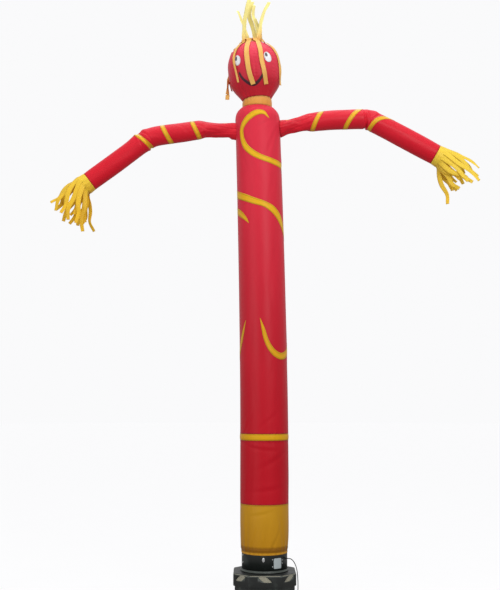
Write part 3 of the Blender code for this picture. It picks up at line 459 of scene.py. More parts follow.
# %% Shared cloth effects
def new_group(name, inputs, outputs):
    """Empty shader group with named sockets, and its input and output nodes."""
    group = bpy.data.node_groups.new(name, "ShaderNodeTree")
    for label, kind, value in inputs:
        socket = group.interface.new_socket(label, in_out="INPUT", socket_type=kind)
        if value is not None:
            socket.default_value = value
    for label in outputs:
        group.interface.new_socket(label, in_out="OUTPUT", socket_type="NodeSocketFloat")
    start = group.nodes.new("NodeGroupInput").outputs
    end = group.nodes.new("NodeGroupOutput").inputs
    return group, start, end


def weave_group():
    """Threads as a product of two sine waves, and thin lines at each grid step."""
    group, start, end = new_group("nylon weave", [("Surface", "NodeSocketVector", None),
                                                  ("Thread", "NodeSocketFloat", 0.0009),
                                                  ("Grid", "NodeSocketFloat", 0.0065)],
                                  ["Height", "Lines"])
    half = calculate(group, "MULTIPLY", start["Grid"], 0.5)
    waves, lines = [], []
    for place in split_place(group, start["Surface"])[:2]:
        phase = calculate(group, "DIVIDE", place, start["Thread"])
        waves.append(calculate(group, "SINE", calculate(group, "MULTIPLY", phase, FULL_TURN)))
        off = calculate(group, "DIVIDE", calculate(group, "PINGPONG", place, half), 0.0005)
        lines.append(one_minus(group, off, clamp=True))
    grid = calculate(group, "MAXIMUM", *lines)
    threads = calculate(group, "MULTIPLY_ADD", calculate(group, "MULTIPLY", *waves), 0.25, 0.25)
    group.links.new(calculate(group, "MAXIMUM", threads, grid), end["Height"])
    group.links.new(grid, end["Lines"])
    return group


def slack_group():
    """Soft, drawn-out noise: long shallow waves, and patches a little lighter."""
    group, start, end = new_group("slack cloth", [("Surface", "NodeSocketVector", None),
                                                  ("Across", "NodeSocketFloat", 5.0),
                                                  ("Along", "NodeSocketFloat", 2.2)],
                                  ["Height", "Tone"])
    across, along = split_place(group, start["Surface"])[:2]
    join = group.nodes.new("ShaderNodeCombineXYZ")
    group.links.new(calculate(group, "MULTIPLY", across, start["Across"]), join.inputs[0])
    group.links.new(calculate(group, "MULTIPLY", along, start["Along"]), join.inputs[1])
    group.links.new(noise(group, join.outputs[0], 1.0, 2.0, 0.6), end["Height"])
    patches = noise(group, join.outputs[0], 0.45, 3.0, 0.6)
    group.links.new(ramp(group, patches, 0.3, 0.7), end["Tone"])
    return group


def seam_group():
    """Two rows of thread dashes beside a sewn edge, and the doubled cloth there."""
    group, start, end = new_group("sewn seam", [("Seam", "NodeSocketVector", None),
                                                ("Stitch", "NodeSocketFloat", 0.0060),
                                                ("Fold", "NodeSocketFloat", 0.0130)],
                                  ["Stitches", "Doubled", "Groove"])
    run, off = split_place(group, start["Seam"])[:2]
    dash = calculate(group, "FRACT", calculate(group, "DIVIDE", run, start["Stitch"]))
    dash = calculate(group, "LESS_THAN", dash, 0.66)
    rows = []
    for share in (0.32, 0.78):
        line = calculate(group, "SUBTRACT", off, calculate(group, "MULTIPLY", start["Fold"], share))
        line = calculate(group, "DIVIDE", calculate(group, "ABSOLUTE", line), 0.0009)
        rows.append(one_minus(group, line, clamp=True))
    both = calculate(group, "MULTIPLY", calculate(group, "MAXIMUM", *rows), dash)
    edge = calculate(group, "SUBTRACT", start["Fold"], off)
    group.links.new(both, end["Stitches"])
    group.links.new(calculate(group, "DIVIDE", edge, 0.0008, clamp=True), end["Doubled"])
    groove = one_minus(group, calculate(group, "DIVIDE", off, 0.0022), clamp=True)
    group.links.new(groove, end["Groove"])
    return group


WEAVE, SLACK, SEAM = weave_group(), slack_group(), seam_group()


def use_group(tree, group, **values):
    """Places a group in a material and sets or links its inputs."""
    node = tree.nodes.new("ShaderNodeGroup")
    node.node_tree = group
    for label, value in values.items():
        plug_in(tree, node.inputs[label], value)
    return node.outputs


print("groups:", WEAVE.name, SLACK.name, SEAM.name)

# %% Nylon in its colours
def tint(colour, gain):
    return (*[min(1.0, c * gain) for c in colour[:3]], 1.0)


NYLON_ROUGHNESS = 0.44


def nylon(name, low, high, heights=(0.5, 5.2), across=5.0, along=2.2, slack=0.0045, hem=None,
          top=None, groove_shade=0.55):
    """Coated nylon: colour by height, patchy tone, stitched seams, weave and slack.

    A top tone, where given, is a painted sky highlight: the colour is pulled towards it where the cloth
    faces upwards.
    """
    made, tree, shader = new_finish(name, NYLON_ROUGHNESS)
    shader.inputs["Sheen Weight"].default_value = 0.04
    shader.inputs["Sheen Roughness"].default_value = 0.45
    shader.inputs["Specular IOR Level"].default_value = 0.22
    surface = map_of(tree, "cloth")
    weave = use_group(tree, WEAVE, Surface=surface)
    loose = use_group(tree, SLACK, Surface=surface, Across=across, Along=along)
    seam = use_group(tree, SEAM, Seam=map_of(tree, "seam"))
    height = split_place(tree, object_place(tree))[2]
    colour = blend_colours(tree, ramp(tree, height, *heights), low, high)
    colour = lay_over(tree, colour, loose["Tone"], 0.22, paint(250, 244, 238), "SOFT_LIGHT")
    if hem is not None:
        colour = hem(tree, colour, height)
    if top is not None:
        # Painted sky highlight: cloth that faces upwards is blended towards the top tone.
        colour = lay_over(tree, colour, ramp(tree, upward_tilt(tree), 0.50, 0.95), 0.6, top)
    # The groove's darkening is a painted shade in the valley beside each sewn edge.
    for mask, strength, other in ((seam["Doubled"], 0.30, paint(118, 112, 110)),
                                  (weave["Lines"], 0.10, paint(160, 155, 150)),
                                  (seam["Groove"], groove_shade, paint(60, 50, 50))):
        colour = lay_over(tree, colour, mask, strength, other, "MULTIPLY")
    colour = lay_over(tree, colour, seam["Stitches"], 0.7, tint(high, 1.7))
    tree.links.new(colour, shader.inputs["Base Color"])
    rough = calculate(tree, "MULTIPLY_ADD", loose["Tone"], 0.12, NYLON_ROUGHNESS - 0.06)
    tree.links.new(calculate(tree, "MAXIMUM", rough, seam["Stitches"]), shader.inputs["Roughness"])
    total = calculate(tree, "MULTIPLY", weave["Height"], 0.030)
    for height, millimetres in ((seam["Stitches"], 0.16), (seam["Doubled"], 0.14),
                                (seam["Groove"], -0.35), (loose["Height"], slack * 1000.0)):
        total = calculate(tree, "MULTIPLY_ADD", height, millimetres, total)
    raise_surface(tree, shader, total, 0.001)
    return made


def hem_shade_and_highlight(tree, colour, height):
    """Painted shade in the gathered casing above the blower, and a painted highlight on the turned-up edge
    below it.
    """
    # Painted shade: the casing band is multiplied darker.
    casing = calculate(tree, "MULTIPLY", ramp(tree, height, 0.506, 0.516),
                       one_minus(tree, ramp(tree, height, 0.546, 0.574)))
    colour = lay_over(tree, colour, casing, 0.8, paint(176, 160, 104), "MULTIPLY")
    # Painted highlight: the hem's lower edge takes a paler orange.
    edge = one_minus(tree, ramp(tree, height, 0.500, 0.510))
    return blend_colours(tree, edge, colour, paint(222, 158, 34))


STRIPE_PLANES = ((-0.395, -0.5, 4.580), (0.255, 1.0, 4.620))
STRIPE_HALF, STRIPE_STEEPNESS = 0.016, 0.9


def root_stripes(tree, colour, height):
    """Yellow stripe over the top and back of each arm's root, between slanted planes.

    It shows where y + steepness * (z - middle) is above 0: from the arm's upper
    front over the top and down the back.
    """
    x, y = split_place(tree, object_place(tree))[:2]
    over = calculate(tree, "MULTIPLY_ADD", height, STRIPE_STEEPNESS, y)
    for start, slant, middle in STRIPE_PLANES:
        off = calculate(tree, "MULTIPLY_ADD", y, -slant, x)
        off = calculate(tree, "ABSOLUTE", calculate(tree, "SUBTRACT", off, start + 0.02 * slant))
        level = STRIPE_STEEPNESS * middle
        shown = calculate(tree, "MULTIPLY", calculate(tree, "LESS_THAN", off, STRIPE_HALF),
                          ramp(tree, over, level, level + 0.006))
        colour = blend_colours(tree, shown, colour, paint(238, 176, 60))
    return colour


# The tube's and the head's colours ramp from darker low down to paler and pinker high up: painted light
# from above.
red_tube = nylon("red nylon tube", paint(186, 2, 26), paint(222, 42, 64), (1.2, 4.9))
# The arm's pink top tone is a painted sky highlight.
red_arm = nylon("red nylon arm", paint(216, 20, 40), paint(220, 28, 48), (4.0, 4.8), across=9.0, along=4.0,
                top=paint(236, 96, 112), hem=root_stripes)
red_head = nylon("red nylon head", paint(198, 34, 50), paint(230, 58, 82), (4.9, 5.45), across=8.0,
                 along=5.0)
ring_yellow = nylon("yellow nylon ring", paint(222, 162, 6), paint(226, 166, 8))
trim_yellow = nylon("yellow nylon trim", paint(226, 164, 10), paint(240, 184, 22), (2.2, 4.7), slack=0.002,
                    groove_shade=0.25)
# The band's cream top tone is a painted sky highlight.
arm_yellow = nylon("yellow nylon band", paint(238, 172, 28), paint(240, 180, 36), slack=0.002,
                   top=paint(252, 230, 180), groove_shade=0.25)
neck_orange = nylon("orange nylon neck", paint(228, 154, 62), paint(236, 168, 88), (4.78, 4.92), across=9.0)
skirt_ochre = nylon("ochre nylon skirt", paint(186, 128, 8), paint(198, 142, 22), (0.5, 0.95),
                    hem=hem_shade_and_highlight, groove_shade=0.2)
print("nylon finishes made")

# %% [markdown]
# ## The tube, from the skirt to the shoulders
# All the body pieces are turned shapes whose middle leans back to the left
# with height. Creases are listed one row each: a soft trough with a
# raised side, placed by azimuth and height and turned by an angle. Near every
# sewn edge the cloth puckers, unevenly, in folds that run out from the seam.

# %% Shape of the body
SKIRT_ROWS = ((0.4903, 0.2163), (0.5200, 0.2171), (0.5350, 0.2196), (0.5650, 0.2224),
              (0.6300, 0.2260), (0.7600, 0.2290), (0.9457, 0.2292))
TUBE_ROWS = ((0.9463, 0.2292), (0.9900, 0.2300), (1.4800, 0.2300), (1.5150, 0.2288), (1.5367, 0.2296))
RING_ROWS = ((1.5373, 0.2298), (1.5520, 0.2306), (1.5820, 0.2306), (1.5977, 0.2298))
SHOULDER_Z, SHOULDER_RADIUS = 4.680, 0.221
NECK_Z, NECK_RADIUS = 4.7997, 0.143
TRUNK_BASE_Z = 1.5983
DOME_END = math.radians(75.0)


def lean(z):
    return -0.0113 * np.maximum(np.asarray(z, dtype=float) - 1.598, 0.0) ** 1.5


def trunk_rows():
    """Tapering tube up to the shoulder, then an arc of 75 degrees in to the neck."""
    turn = np.linspace(0.0, DOME_END, 14)[1:]
    reach = (SHOULDER_RADIUS - NECK_RADIUS) / (1.0 - math.cos(DOME_END))
    rise = (NECK_Z - SHOULDER_Z) / math.sin(DOME_END)
    dome = np.column_stack((SHOULDER_Z + rise * np.sin(turn),
                            SHOULDER_RADIUS - reach * (1.0 - np.cos(turn))))
    return np.vstack(((TRUNK_BASE_Z, 0.2300), (SHOULDER_Z, SHOULDER_RADIUS), dome))


TRUNK_ROWS = trunk_rows()


def trunk_radius(z):
    return np.interp(z, TRUNK_ROWS[:, 0], TRUNK_ROWS[:, 1])


def puckers(azimuth, off, count, depth, reach):
    """Waves round the tube that die away from a seam; their strength drifts."""
    a = np.radians(azimuth)
    phase = count * a + 1.6 * np.sin(2 * a + 0.7) + 1.1 * np.sin(5 * a + 2.0)
    uneven = 0.55 + 0.30 * np.sin(3 * a + count) + 0.15 * np.sin(7 * a)
    return depth * np.cos(phase) * uneven * np.exp(-np.maximum(off, 0.0) / reach)


def creases(across, along, table):
    """Sum of listed creases on a flat map in metres.

    Each row is the middle's place across and along, length, width, turn in
    degrees, bend and depth. Round the middle the trough is a bell across and
    a longer bell along it; the raised side is a wider, lower bell next to it.
    """
    total = np.zeros(np.broadcast(across, along).shape)
    for a0, b0, length, width, turn, bend, depth in table:
        c, s = math.cos(math.radians(turn)), math.sin(math.radians(turn))
        u = (across - a0) * c + (along - b0) * s
        v = -(across - a0) * s + (along - b0) * c - bend * u ** 2
        window = np.exp(-(2.0 * u / length) ** 2)
        total += depth * window * (0.6 * np.exp(-((v - 1.5 * width) / (1.3 * width)) ** 2)
                                   - np.exp(-(v / width) ** 2))
    return total


# Trunk: arc in metres from the front, height, length, width, turn, bend, depth
TRUNK_CREASES = (
    (-0.150, 4.455, 0.34, 0.020, -64, 0.6, 0.0028), (-0.200, 4.360, 0.42, 0.024, -76, 0.3, 0.0030),
    (0.150, 4.450, 0.36, 0.020, 62, -0.5, 0.0030), (0.190, 4.350, 0.44, 0.026, 76, -0.3, 0.0032),
    (0.060, 4.590, 0.22, 0.016, 28, -0.8, 0.0016), (-0.060, 4.120, 0.36, 0.030, -62, 0.3, 0.0016),
    (0.120, 3.960, 0.40, 0.028, 74, -0.4, 0.0020), (-0.120, 3.720, 0.44, 0.026, 80, 0.3, 0.0020),
    (0.140, 3.300, 0.50, 0.030, 82, 0.1, 0.0022), (-0.050, 3.060, 0.42, 0.036, -74, -0.2, 0.0014),
    (0.090, 2.860, 0.44, 0.028, -82, 0.3, 0.0018), (-0.120, 2.560, 0.60, 0.034, 86, 0.1, 0.0022),
    (0.150, 2.060, 0.55, 0.030, 84, 0.1, 0.0022), (-0.080, 1.900, 0.44, 0.026, -78, 0.4, 0.0016),
    (0.060, 1.740, 0.26, 0.020, 40, 0.4, 0.0014), (-0.160, 1.700, 0.22, 0.018, 64, 0.4, 0.0026),
    (0.500, 4.300, 0.50, 0.034, 40, 0.2, 0.0050), (-0.480, 3.500, 0.60, 0.034, 70, 0.2, 0.0040),
    (0.450, 2.600, 0.60, 0.034, 80, 0.2, 0.0040),
)
SKIRT_CREASES = (
    (-0.100, 0.640, 0.26, 0.016, 74, 0.5, 0.0040), (0.020, 0.680, 0.30, 0.020, 84, 0.2, 0.0040),
    (0.110, 0.630, 0.22, 0.014, 66, 0.5, 0.0035), (-0.180, 0.700, 0.34, 0.022, 88, 0.2, 0.0040),
    (0.170, 0.720, 0.30, 0.020, 100, 0.2, 0.0040), (-0.030, 0.860, 0.22, 0.018, 12, 0.4, 0.0024),
    (0.400, 0.700, 0.36, 0.020, 82, 0.2, 0.0040), (-0.420, 0.680, 0.36, 0.020, 98, 0.2, 0.0040),
)
TUBE_CREASES = (
    (-0.060, 1.460, 0.30, 0.020, -10, 0.4, 0.0026), (0.110, 1.360, 0.34, 0.026, 30, 0.2, 0.0026),
    (-0.140, 1.200, 0.44, 0.030, 84, 0.1, 0.0026), (0.040, 1.080, 0.30, 0.024, 8, 0.3, 0.0022),
    (0.420, 1.250, 0.50, 0.030, 76, 0.1, 0.0030), (-0.430, 1.200, 0.50, 0.030, 96, 0.1, 0.0030),
)
MAP_RADIUS = 0.2262


def trunk_relief(azimuth, z):
    """Puckers at both ends of the trunk, and its listed creases."""
    low = puckers(azimuth, z - TRUNK_BASE_Z, 26, 0.0020, 0.035)
    high = puckers(azimuth, NECK_Z - z, 17, 0.0042, 0.050)
    seam = puckers(azimuth, np.abs(z - SHOULDER_Z), 19, 0.0016, 0.030)
    return low + high + seam + creases(np.radians(azimuth) * MAP_RADIUS, z, TRUNK_CREASES)


def turned_point(turn, r, z, x=0.0, y=0.0):
    """Point at radius r round an upright axis: x + r sin(turn), y - r cos(turn), z."""
    return np.stack(np.broadcast_arrays(x + r * np.sin(turn), y - r * np.cos(turn), z), -1)


def on_trunk(azimuth, z, lift=0.0):
    """Point on the finished trunk: its turned shape, leaned, plus the relief."""
    r = trunk_radius(z) + trunk_relief(azimuth, z) + lift
    return turned_point(np.radians(azimuth), r, z, lean(z))


def turned_grid(rows, steps, sides, relief):
    """Rings at uneven heights, closer near both ends, with a relief added."""
    share = np.linspace(0.0, 1.0, steps)
    share = share - 0.11 * np.sin(FULL_TURN * share)
    rows = np.asarray(rows)
    z = (rows[0, 0] + (rows[-1, 0] - rows[0, 0]) * share)[:, None]
    azimuth = np.linspace(-180.0, 180.0, sides, endpoint=False)[None, :]
    r = np.interp(z, rows[:, 0], rows[:, 1]) + relief(azimuth, z)
    return turned_point(np.radians(azimuth), r, z, lean(z))


def skirt_relief(azimuth, z):
    """Gathers that hang from the cord casing, the casing's own roll and the flared edge."""
    a = np.radians(azimuth)
    below = np.clip((0.5200 - z) / 0.03, 0.0, 1.0)
    gather = puckers(azimuth, np.abs(z - 0.548), 24, 0.0034, 0.055)
    frill = 0.0016 * below * np.cos(29 * a + 1.3 * np.sin(3 * a))
    roll = 0.0020 * np.exp(-((z - 0.534) / 0.010) ** 2)
    top = puckers(azimuth, 0.9457 - z, 22, 0.0012, 0.03)
    return gather * (z > 0.500) + frill + roll + top + creases(a * MAP_RADIUS, z, SKIRT_CREASES)


def tube_relief(azimuth, z):
    low = puckers(azimuth, z - 0.9463, 22, 0.0012, 0.03)
    high = puckers(azimuth, 1.5367 - z, 26, 0.0024, 0.045)
    return low + high + creases(np.radians(azimuth) * MAP_RADIUS, z, TUBE_CREASES)


def ring_relief(azimuth, z):
    """Tight little folds across the ring, with a rounded middle."""
    middle = 0.0022 * np.sin(math.pi * np.clip((z - 1.5373) / 0.0604, 0.0, 1.0))
    return middle + puckers(azimuth, 0.0 * z, 31, 0.0011, 0.03)


skirt_grid = turned_grid(SKIRT_ROWS, 96, 192, skirt_relief)
tube_grid = turned_grid(TUBE_ROWS, 96, 192, tube_relief)
ring_grid = turned_grid(RING_ROWS, 22, 192, ring_relief)
trunk_grid = turned_grid(TRUNK_ROWS, 300, 176, trunk_relief)
skirt = make_sheet("skirt_cloth", [(skirt_grid, True, "ends")], skirt_ochre, ["skirt"])
lower_tube = make_sheet("lower_tube_cloth", [(tube_grid, True, "ends")], red_tube,
                        ["tube_lower"])
ring = make_sheet("ring_cloth", [(ring_grid, True, "ends")], ring_yellow, ["tube_ring"])
trunk = make_sheet("trunk_cloth", [(trunk_grid, True, "ends")], red_tube, ["trunk"])
print("skirt, tube, ring and trunk:", measure(skirt_grid), measure(tube_grid), measure(ring_grid),
      measure(trunk_grid))

# %% Swirls sewn on the trunk
SWIRLS = {
    "swirl_chest": ((30, 4.643, 0.004), (15, 4.695, 0.042), (-2, 4.694, 0.056), (-19, 4.662, 0.060),
                    (-34, 4.616, 0.060), (-46, 4.550, 0.056), (-47, 4.475, 0.056), (-42, 4.412, 0.058),
                    (-33, 4.354, 0.060), (-17, 4.296, 0.060), (2, 4.253, 0.056), (24, 4.227, 0.056),
                    (47, 4.210, 0.060), (74, 4.196, 0.062), (102, 4.172, 0.056), (126, 4.136, 0.036),
                    (142, 4.104, 0.006)),
    "swirl_waist": ((-142, 4.022, 0.006), (-122, 3.990, 0.040), (-98, 3.948, 0.064),
                    (-70, 3.902, 0.072), (-42, 3.862, 0.070), (-16, 3.820, 0.064), (9, 3.788, 0.058),
                    (31, 3.744, 0.070), (50, 3.682, 0.076), (66, 3.606, 0.072), (80, 3.534, 0.056),
                    (96, 3.468, 0.032), (108, 3.424, 0.006)),
    "swirl_tip": ((-122, 3.800, 0.006), (-104, 3.784, 0.040), (-82, 3.752, 0.064), (-58, 3.707, 0.062),
                  (-42, 3.658, 0.038), (-31, 3.606, 0.004)),
    "swirl_low_left": ((-46, 2.670, 0.004), (-57, 2.560, 0.034), (-69, 2.456, 0.050),
                       (-84, 2.364, 0.058), (-101, 2.312, 0.052), (-117, 2.302, 0.032),
                       (-130, 2.312, 0.006)),
    "swirl_low_hook": ((-7, 2.686, 0.004), (0, 2.584, 0.034), (6, 2.490, 0.044), (15, 2.412, 0.052),
                       (29, 2.352, 0.060), (48, 2.328, 0.066), (70, 2.356, 0.066), (90, 2.420, 0.056),
                       (106, 2.500, 0.036), (117, 2.580, 0.006)),
}
TRIM_LIFT = 0.0011


def ribbon(rows, place, reach, steps=14, columns=9):
    """Band along a curve drawn on the flat map, set square to it and laid on a surface."""
    curve = smooth_path(rows, steps)
    flat = np.column_stack((np.radians(curve[:, 0]) * reach, curve[:, 1]))
    along = unit(np.gradient(flat, axis=0))
    square = np.column_stack((-along[:, 1], along[:, 0]))
    half = np.maximum(curve[:, 2], 0.004) / 2.0
    side = np.linspace(1.0, -1.0, columns)
    spot = flat[:, None, :] + square[:, None, :] * (half[:, None] * side)[:, :, None]
    return place(np.degrees(spot[..., 0] / reach), spot[..., 1], TRIM_LIFT)


swirls = [make_sheet(f"{name}_cloth", [(ribbon(rows, on_trunk, 0.23), False, "all")], trim_yellow,
                     [name], TRIM_THICK) for name, rows in SWIRLS.items()]
print("swirls:", len(swirls))

# %% [markdown]
# ## Neck, head and face
# The head is eight gores of nylon sewn into a ball, so each seam is a sharp
# shallow valley with small folds across it. The eyes, pupils and smile are
# flat pieces sewn on its curve.

# %% Neck and head
HEAD_SEAT = np.array([-0.066, 0.0, 4.886])
HEAD_TILT = math.radians(5.0)
HEAD_ROWS = ((0.000, 0.141), (0.055, 0.181), (0.110, 0.222), (0.160, 0.249), (0.215, 0.262),
             (0.270, 0.2665))
HEAD_CENTRE, HEAD_RADIUS, VENT_ANGLE = 0.330, 0.267, 68.0
HEAD_UP = np.array([-math.sin(HEAD_TILT), 0.0, math.cos(HEAD_TILT)])
HEAD_RIGHT = np.array([math.cos(HEAD_TILT), 0.0, math.sin(HEAD_TILT)])
FRONT = np.array([0.0, -1.0, 0.0])
SEAM_GAP = 0.0006


def head_profile():
    """Smooth curve through the listed rows, then an arc of a ball up to the vent."""
    turn = np.radians(np.linspace(0.0, VENT_ANGLE, 24))
    arc = np.column_stack((HEAD_CENTRE + HEAD_RADIUS * np.sin(turn), HEAD_RADIUS * np.cos(turn)))
    return smooth_path(np.vstack((HEAD_ROWS, arc)), 8)


HEAD_PROFILE = head_profile()


def from_axis(a, s, r):
    """Point at angle a from the front, s up the head's tilted axis and r away from it."""
    a, s, r = np.broadcast_arrays(a, s, r)
    return (HEAD_SEAT + HEAD_UP * s[..., None] + HEAD_RIGHT * (r * np.sin(a))[..., None]
            + FRONT * (r * np.cos(a))[..., None])


def head_relief(azimuth, s):
    """Sharp gore valleys, folds across each of them, and puckers at both ends."""
    a = np.radians(azimuth)
    valley = (1.0 - np.abs(np.sin(4.0 * a)) ** 0.55) * np.clip(s / 0.04, 0.0, 1.0)
    near = np.exp(-(np.abs(np.sin(4.0 * a)) / 0.34) ** 2)
    fold = np.sin(s * 165.0 + 2.1 * np.sin(3 * a) + 1.4 * np.sin(s * 31.0)) * near
    ends = puckers(azimuth, s, 17, 0.0042, 0.045)
    ends = ends + puckers(azimuth, HEAD_PROFILE[-1, 0] - s, 13, 0.0030, 0.040)
    return -0.0056 * valley + 0.0009 * fold + ends


def on_head(azimuth, s, lift=0.0):
    """Point on the finished head: its profile's radius plus the relief."""
    r = np.interp(s, HEAD_PROFILE[:, 0], HEAD_PROFILE[:, 1]) + head_relief(azimuth, s) + lift
    return from_axis(np.radians(azimuth), s, r)


def neck_surface(azimuth, share):
    """Straight run from the trunk's edge to the head's, with gathers all along it."""
    a = np.radians(azimuth)
    low = turned_point(a, NECK_RADIUS, NECK_Z + SEAM_GAP, lean(4.8))
    high = on_head(azimuth, 0.0, -0.0003) - HEAD_UP * SEAM_GAP
    out = np.stack((np.sin(a), -np.cos(a), 0.0 * a), -1)
    wave = puckers(azimuth, 0.0 * a, 17, 0.0042, 0.05) * np.exp(-share / 0.25)
    swell = 0.005 * np.sin(math.pi * share)
    return low * (1.0 - share)[..., None] + high * share[..., None] + out * (wave * 0.5 + swell)[..., None]


around = np.linspace(-180.0, 180.0, 176, endpoint=False)
neck_grid = neck_surface(*np.meshgrid(around, np.linspace(0.0, 1.0, 26)))
head_s = HEAD_PROFILE[-1, 0] * np.linspace(0.0, 1.0, 190)
head_grid = on_head(np.linspace(-180.0, 180.0, 256, endpoint=False)[None, :], head_s[:, None])
neck = make_sheet("neck_cloth", [(neck_grid, True, "ends")], neck_orange, ["neck"])
head = make_sheet("head_cloth", [(head_grid, True, "ends")], red_head, ["head"])
print("neck and head:", measure(neck_grid), measure(head_grid))

# %% Eyes, pupils and smile
white_patch = nylon("white nylon patch", paint(240, 240, 246), paint(248, 249, 252), (5.1, 5.4),
                    slack=0.001)
grey_patch = nylon("grey nylon patch", paint(86, 86, 92), paint(96, 96, 102), slack=0.001)
black_patch = nylon("black nylon smile", paint(62, 34, 44), paint(76, 42, 52), slack=0.001)


def oval(azimuth, s, half_width, half_height, turn, lift, steps):
    """Square grid pressed into an oval disc, turned, and laid on the head."""
    a, b = np.meshgrid(np.linspace(-1.0, 1.0, steps), np.linspace(-1.0, 1.0, steps))
    u = half_width * a * np.sqrt(1.0 - b ** 2 / 2.0)
    v = half_height * b * np.sqrt(1.0 - a ** 2 / 2.0)
    x = u * math.cos(turn) - v * math.sin(turn)
    y = u * math.sin(turn) + v * math.cos(turn)
    return on_head(azimuth + np.degrees(x / HEAD_RADIUS), s + y, lift)


SMILE = ((-37, 0.226, 0.020), (-32, 0.166, 0.026), (-22, 0.118, 0.029), (-10, 0.096, 0.030),
         (3, 0.108, 0.029), (13, 0.152, 0.026), (19, 0.206, 0.020))
# Azimuth, height on the head, half width, half height, turn, lift, grid steps
EYES = {"eye_left": (-39.0, 0.350, 0.040, 0.055, 0.20, TRIM_LIFT, 24),
        "eye_right": (30.5, 0.352, 0.043, 0.055, 0.20, TRIM_LIFT, 24)}
PUPILS = {"pupil_left": (-42.0, 0.372, 0.015, 0.021, 0.0, 0.0021, 14),
          "pupil_right": (27.2, 0.374, 0.015, 0.021, 0.0, 0.0021, 14)}
face = [make_sheet(f"{name}_cloth", [(oval(*shape), False, "all")], white_patch, [name],
                   TRIM_THICK) for name, shape in EYES.items()]
face += [make_sheet(f"{name}_cloth", [(oval(*shape), False, "none")], grey_patch, [name],
                    TRIM_THICK) for name, shape in PUPILS.items()]
face.append(make_sheet("smile_cloth", [(ribbon(SMILE, on_head, 0.26), False, "none")], black_patch,
                       ["smile"], TRIM_THICK))
print("face pieces:", len(face))

# %% [markdown]
# ## Arms
# Each arm is a limp root gathered where it joins the trunk, a taut upper part,
# a sharp bend and a taut forearm. Its middle line runs through a table of
# points, each with a radius and the depth of three long folds.

# %% Arm surfaces
ARM_LEFT = (
    (-0.205, 0, 4.577, 0.068, 0), (-0.300, 0, 4.577, 0.070, 0.06), (-0.370, -0.002, 4.577, 0.066, 0.10),
    (-0.455, -0.004, 4.581, 0.070, 0.08), (-0.570, -0.006, 4.584, 0.076, 0.06),
    (-0.640, -0.008, 4.578, 0.091, 0.02), (-0.800, -0.012, 4.553, 0.095, 0),
    (-0.960, -0.016, 4.530, 0.096, 0), (-1.080, -0.018, 4.508, 0.097, 0),
    (-1.150, -0.020, 4.480, 0.100, 0.03), (-1.225, -0.024, 4.426, 0.101, 0.03),
    (-1.310, -0.028, 4.358, 0.097, 0), (-1.470, -0.034, 4.232, 0.098, 0),
    (-1.640, -0.040, 4.103, 0.097, 0), (-1.712, -0.042, 4.048, 0.095, 0),
)
ARM_RIGHT = (
    (0.095, 0, 4.600, 0.070, 0), (0.195, 0, 4.611, 0.072, 0.06), (0.270, 0.002, 4.624, 0.068, 0.10),
    (0.345, 0.004, 4.638, 0.071, 0.08), (0.410, 0.006, 4.651, 0.079, 0.05),
    (0.480, 0.008, 4.663, 0.091, 0.02), (0.660, 0.012, 4.684, 0.096, 0),
    (0.850, 0.016, 4.693, 0.097, 0), (0.960, 0.018, 4.697, 0.098, 0),
    (1.035, 0.020, 4.690, 0.097, 0.04), (1.105, 0.022, 4.666, 0.101, 0.03),
    (1.220, 0.026, 4.607, 0.102, 0), (1.395, 0.032, 4.514, 0.104, 0),
    (1.575, 0.038, 4.416, 0.104, 0), (1.708, 0.042, 4.342, 0.100, 0),
)
# Arms: arc from the front, distance along, length, width, turn, bend, depth
LEFT_CREASES = (
    (0.00, 0.07, 0.30, 0.012, 78, 0.6, 0.0034), (-0.07, 0.12, 0.30, 0.012, 98, 0.8, 0.0034),
    (0.06, 0.20, 0.26, 0.012, 70, -0.8, 0.0034), (-0.03, 0.26, 0.24, 0.011, 86, 1.0, 0.0030),
    (0.12, 0.15, 0.30, 0.012, 92, 0.4, 0.0050), (-0.14, 0.22, 0.30, 0.012, 88, 0.4, 0.0050),
    (0.02, 0.35, 0.20, 0.012, 60, 0.5, 0.0024), (-0.08, 0.38, 0.22, 0.012, 112, 0.5, 0.0030),
    (0.05, 0.925, 0.34, 0.013, 8, 0.9, 0.0090), (0.00, 0.965, 0.26, 0.010, -16, 1.2, 0.0040),
    (0.04, 0.885, 0.24, 0.010, 22, 0.8, 0.0035), (-0.05, 0.70, 0.30, 0.016, 66, 0.4, 0.0018),
    (0.03, 0.52, 0.24, 0.014, 40, 0.5, 0.0016), (-0.02, 1.18, 0.36, 0.018, 80, 0.2, 0.0012),
    (0.151, 0.882, 0.20, 0.022, 4, 0.0, -0.0100), (-0.140, 0.905, 0.17, 0.016, 10, 0.0, 0.0150),
)
RIGHT_CREASES = (
    (0.00, 0.07, 0.28, 0.012, 100, 0.6, 0.0034), (-0.07, 0.11, 0.28, 0.012, 80, 0.8, 0.0034),
    (0.06, 0.17, 0.24, 0.012, 108, -0.8, 0.0034), (-0.02, 0.22, 0.24, 0.011, 92, 1.0, 0.0030),
    (0.13, 0.15, 0.28, 0.012, 86, 0.4, 0.0050), (-0.14, 0.20, 0.28, 0.012, 94, 0.4, 0.0050),
    (0.03, 0.30, 0.20, 0.012, 118, 0.5, 0.0026), (-0.06, 0.33, 0.22, 0.012, 68, 0.5, 0.0026),
    (0.05, 0.862, 0.24, 0.012, 18, 1.0, 0.0130), (0.04, 0.915, 0.20, 0.011, -16, 1.2, 0.0080),
    (-0.04, 0.60, 0.32, 0.016, 108, 0.4, 0.0016), (0.03, 1.15, 0.36, 0.020, 96, 0.2, 0.0010),
    (-0.151, 0.925, 0.18, 0.026, 4, 0.0, -0.0050), (0.140, 0.872, 0.16, 0.013, -8, 0.0, 0.0200),
)
ARM_SIDES = 96
ARM_MAP_RADIUS = 0.096


def grid_normals(points):
    """Outward directions of a closed grid, from its two sets of steps."""
    around = np.roll(points, -1, axis=1) - np.roll(points, 1, axis=1)
    along = np.gradient(points, axis=0)
    normal = unit(np.cross(around, along))
    outward = np.sign((normal * (points - points.mean(1, keepdims=True))).sum())
    return normal * outward


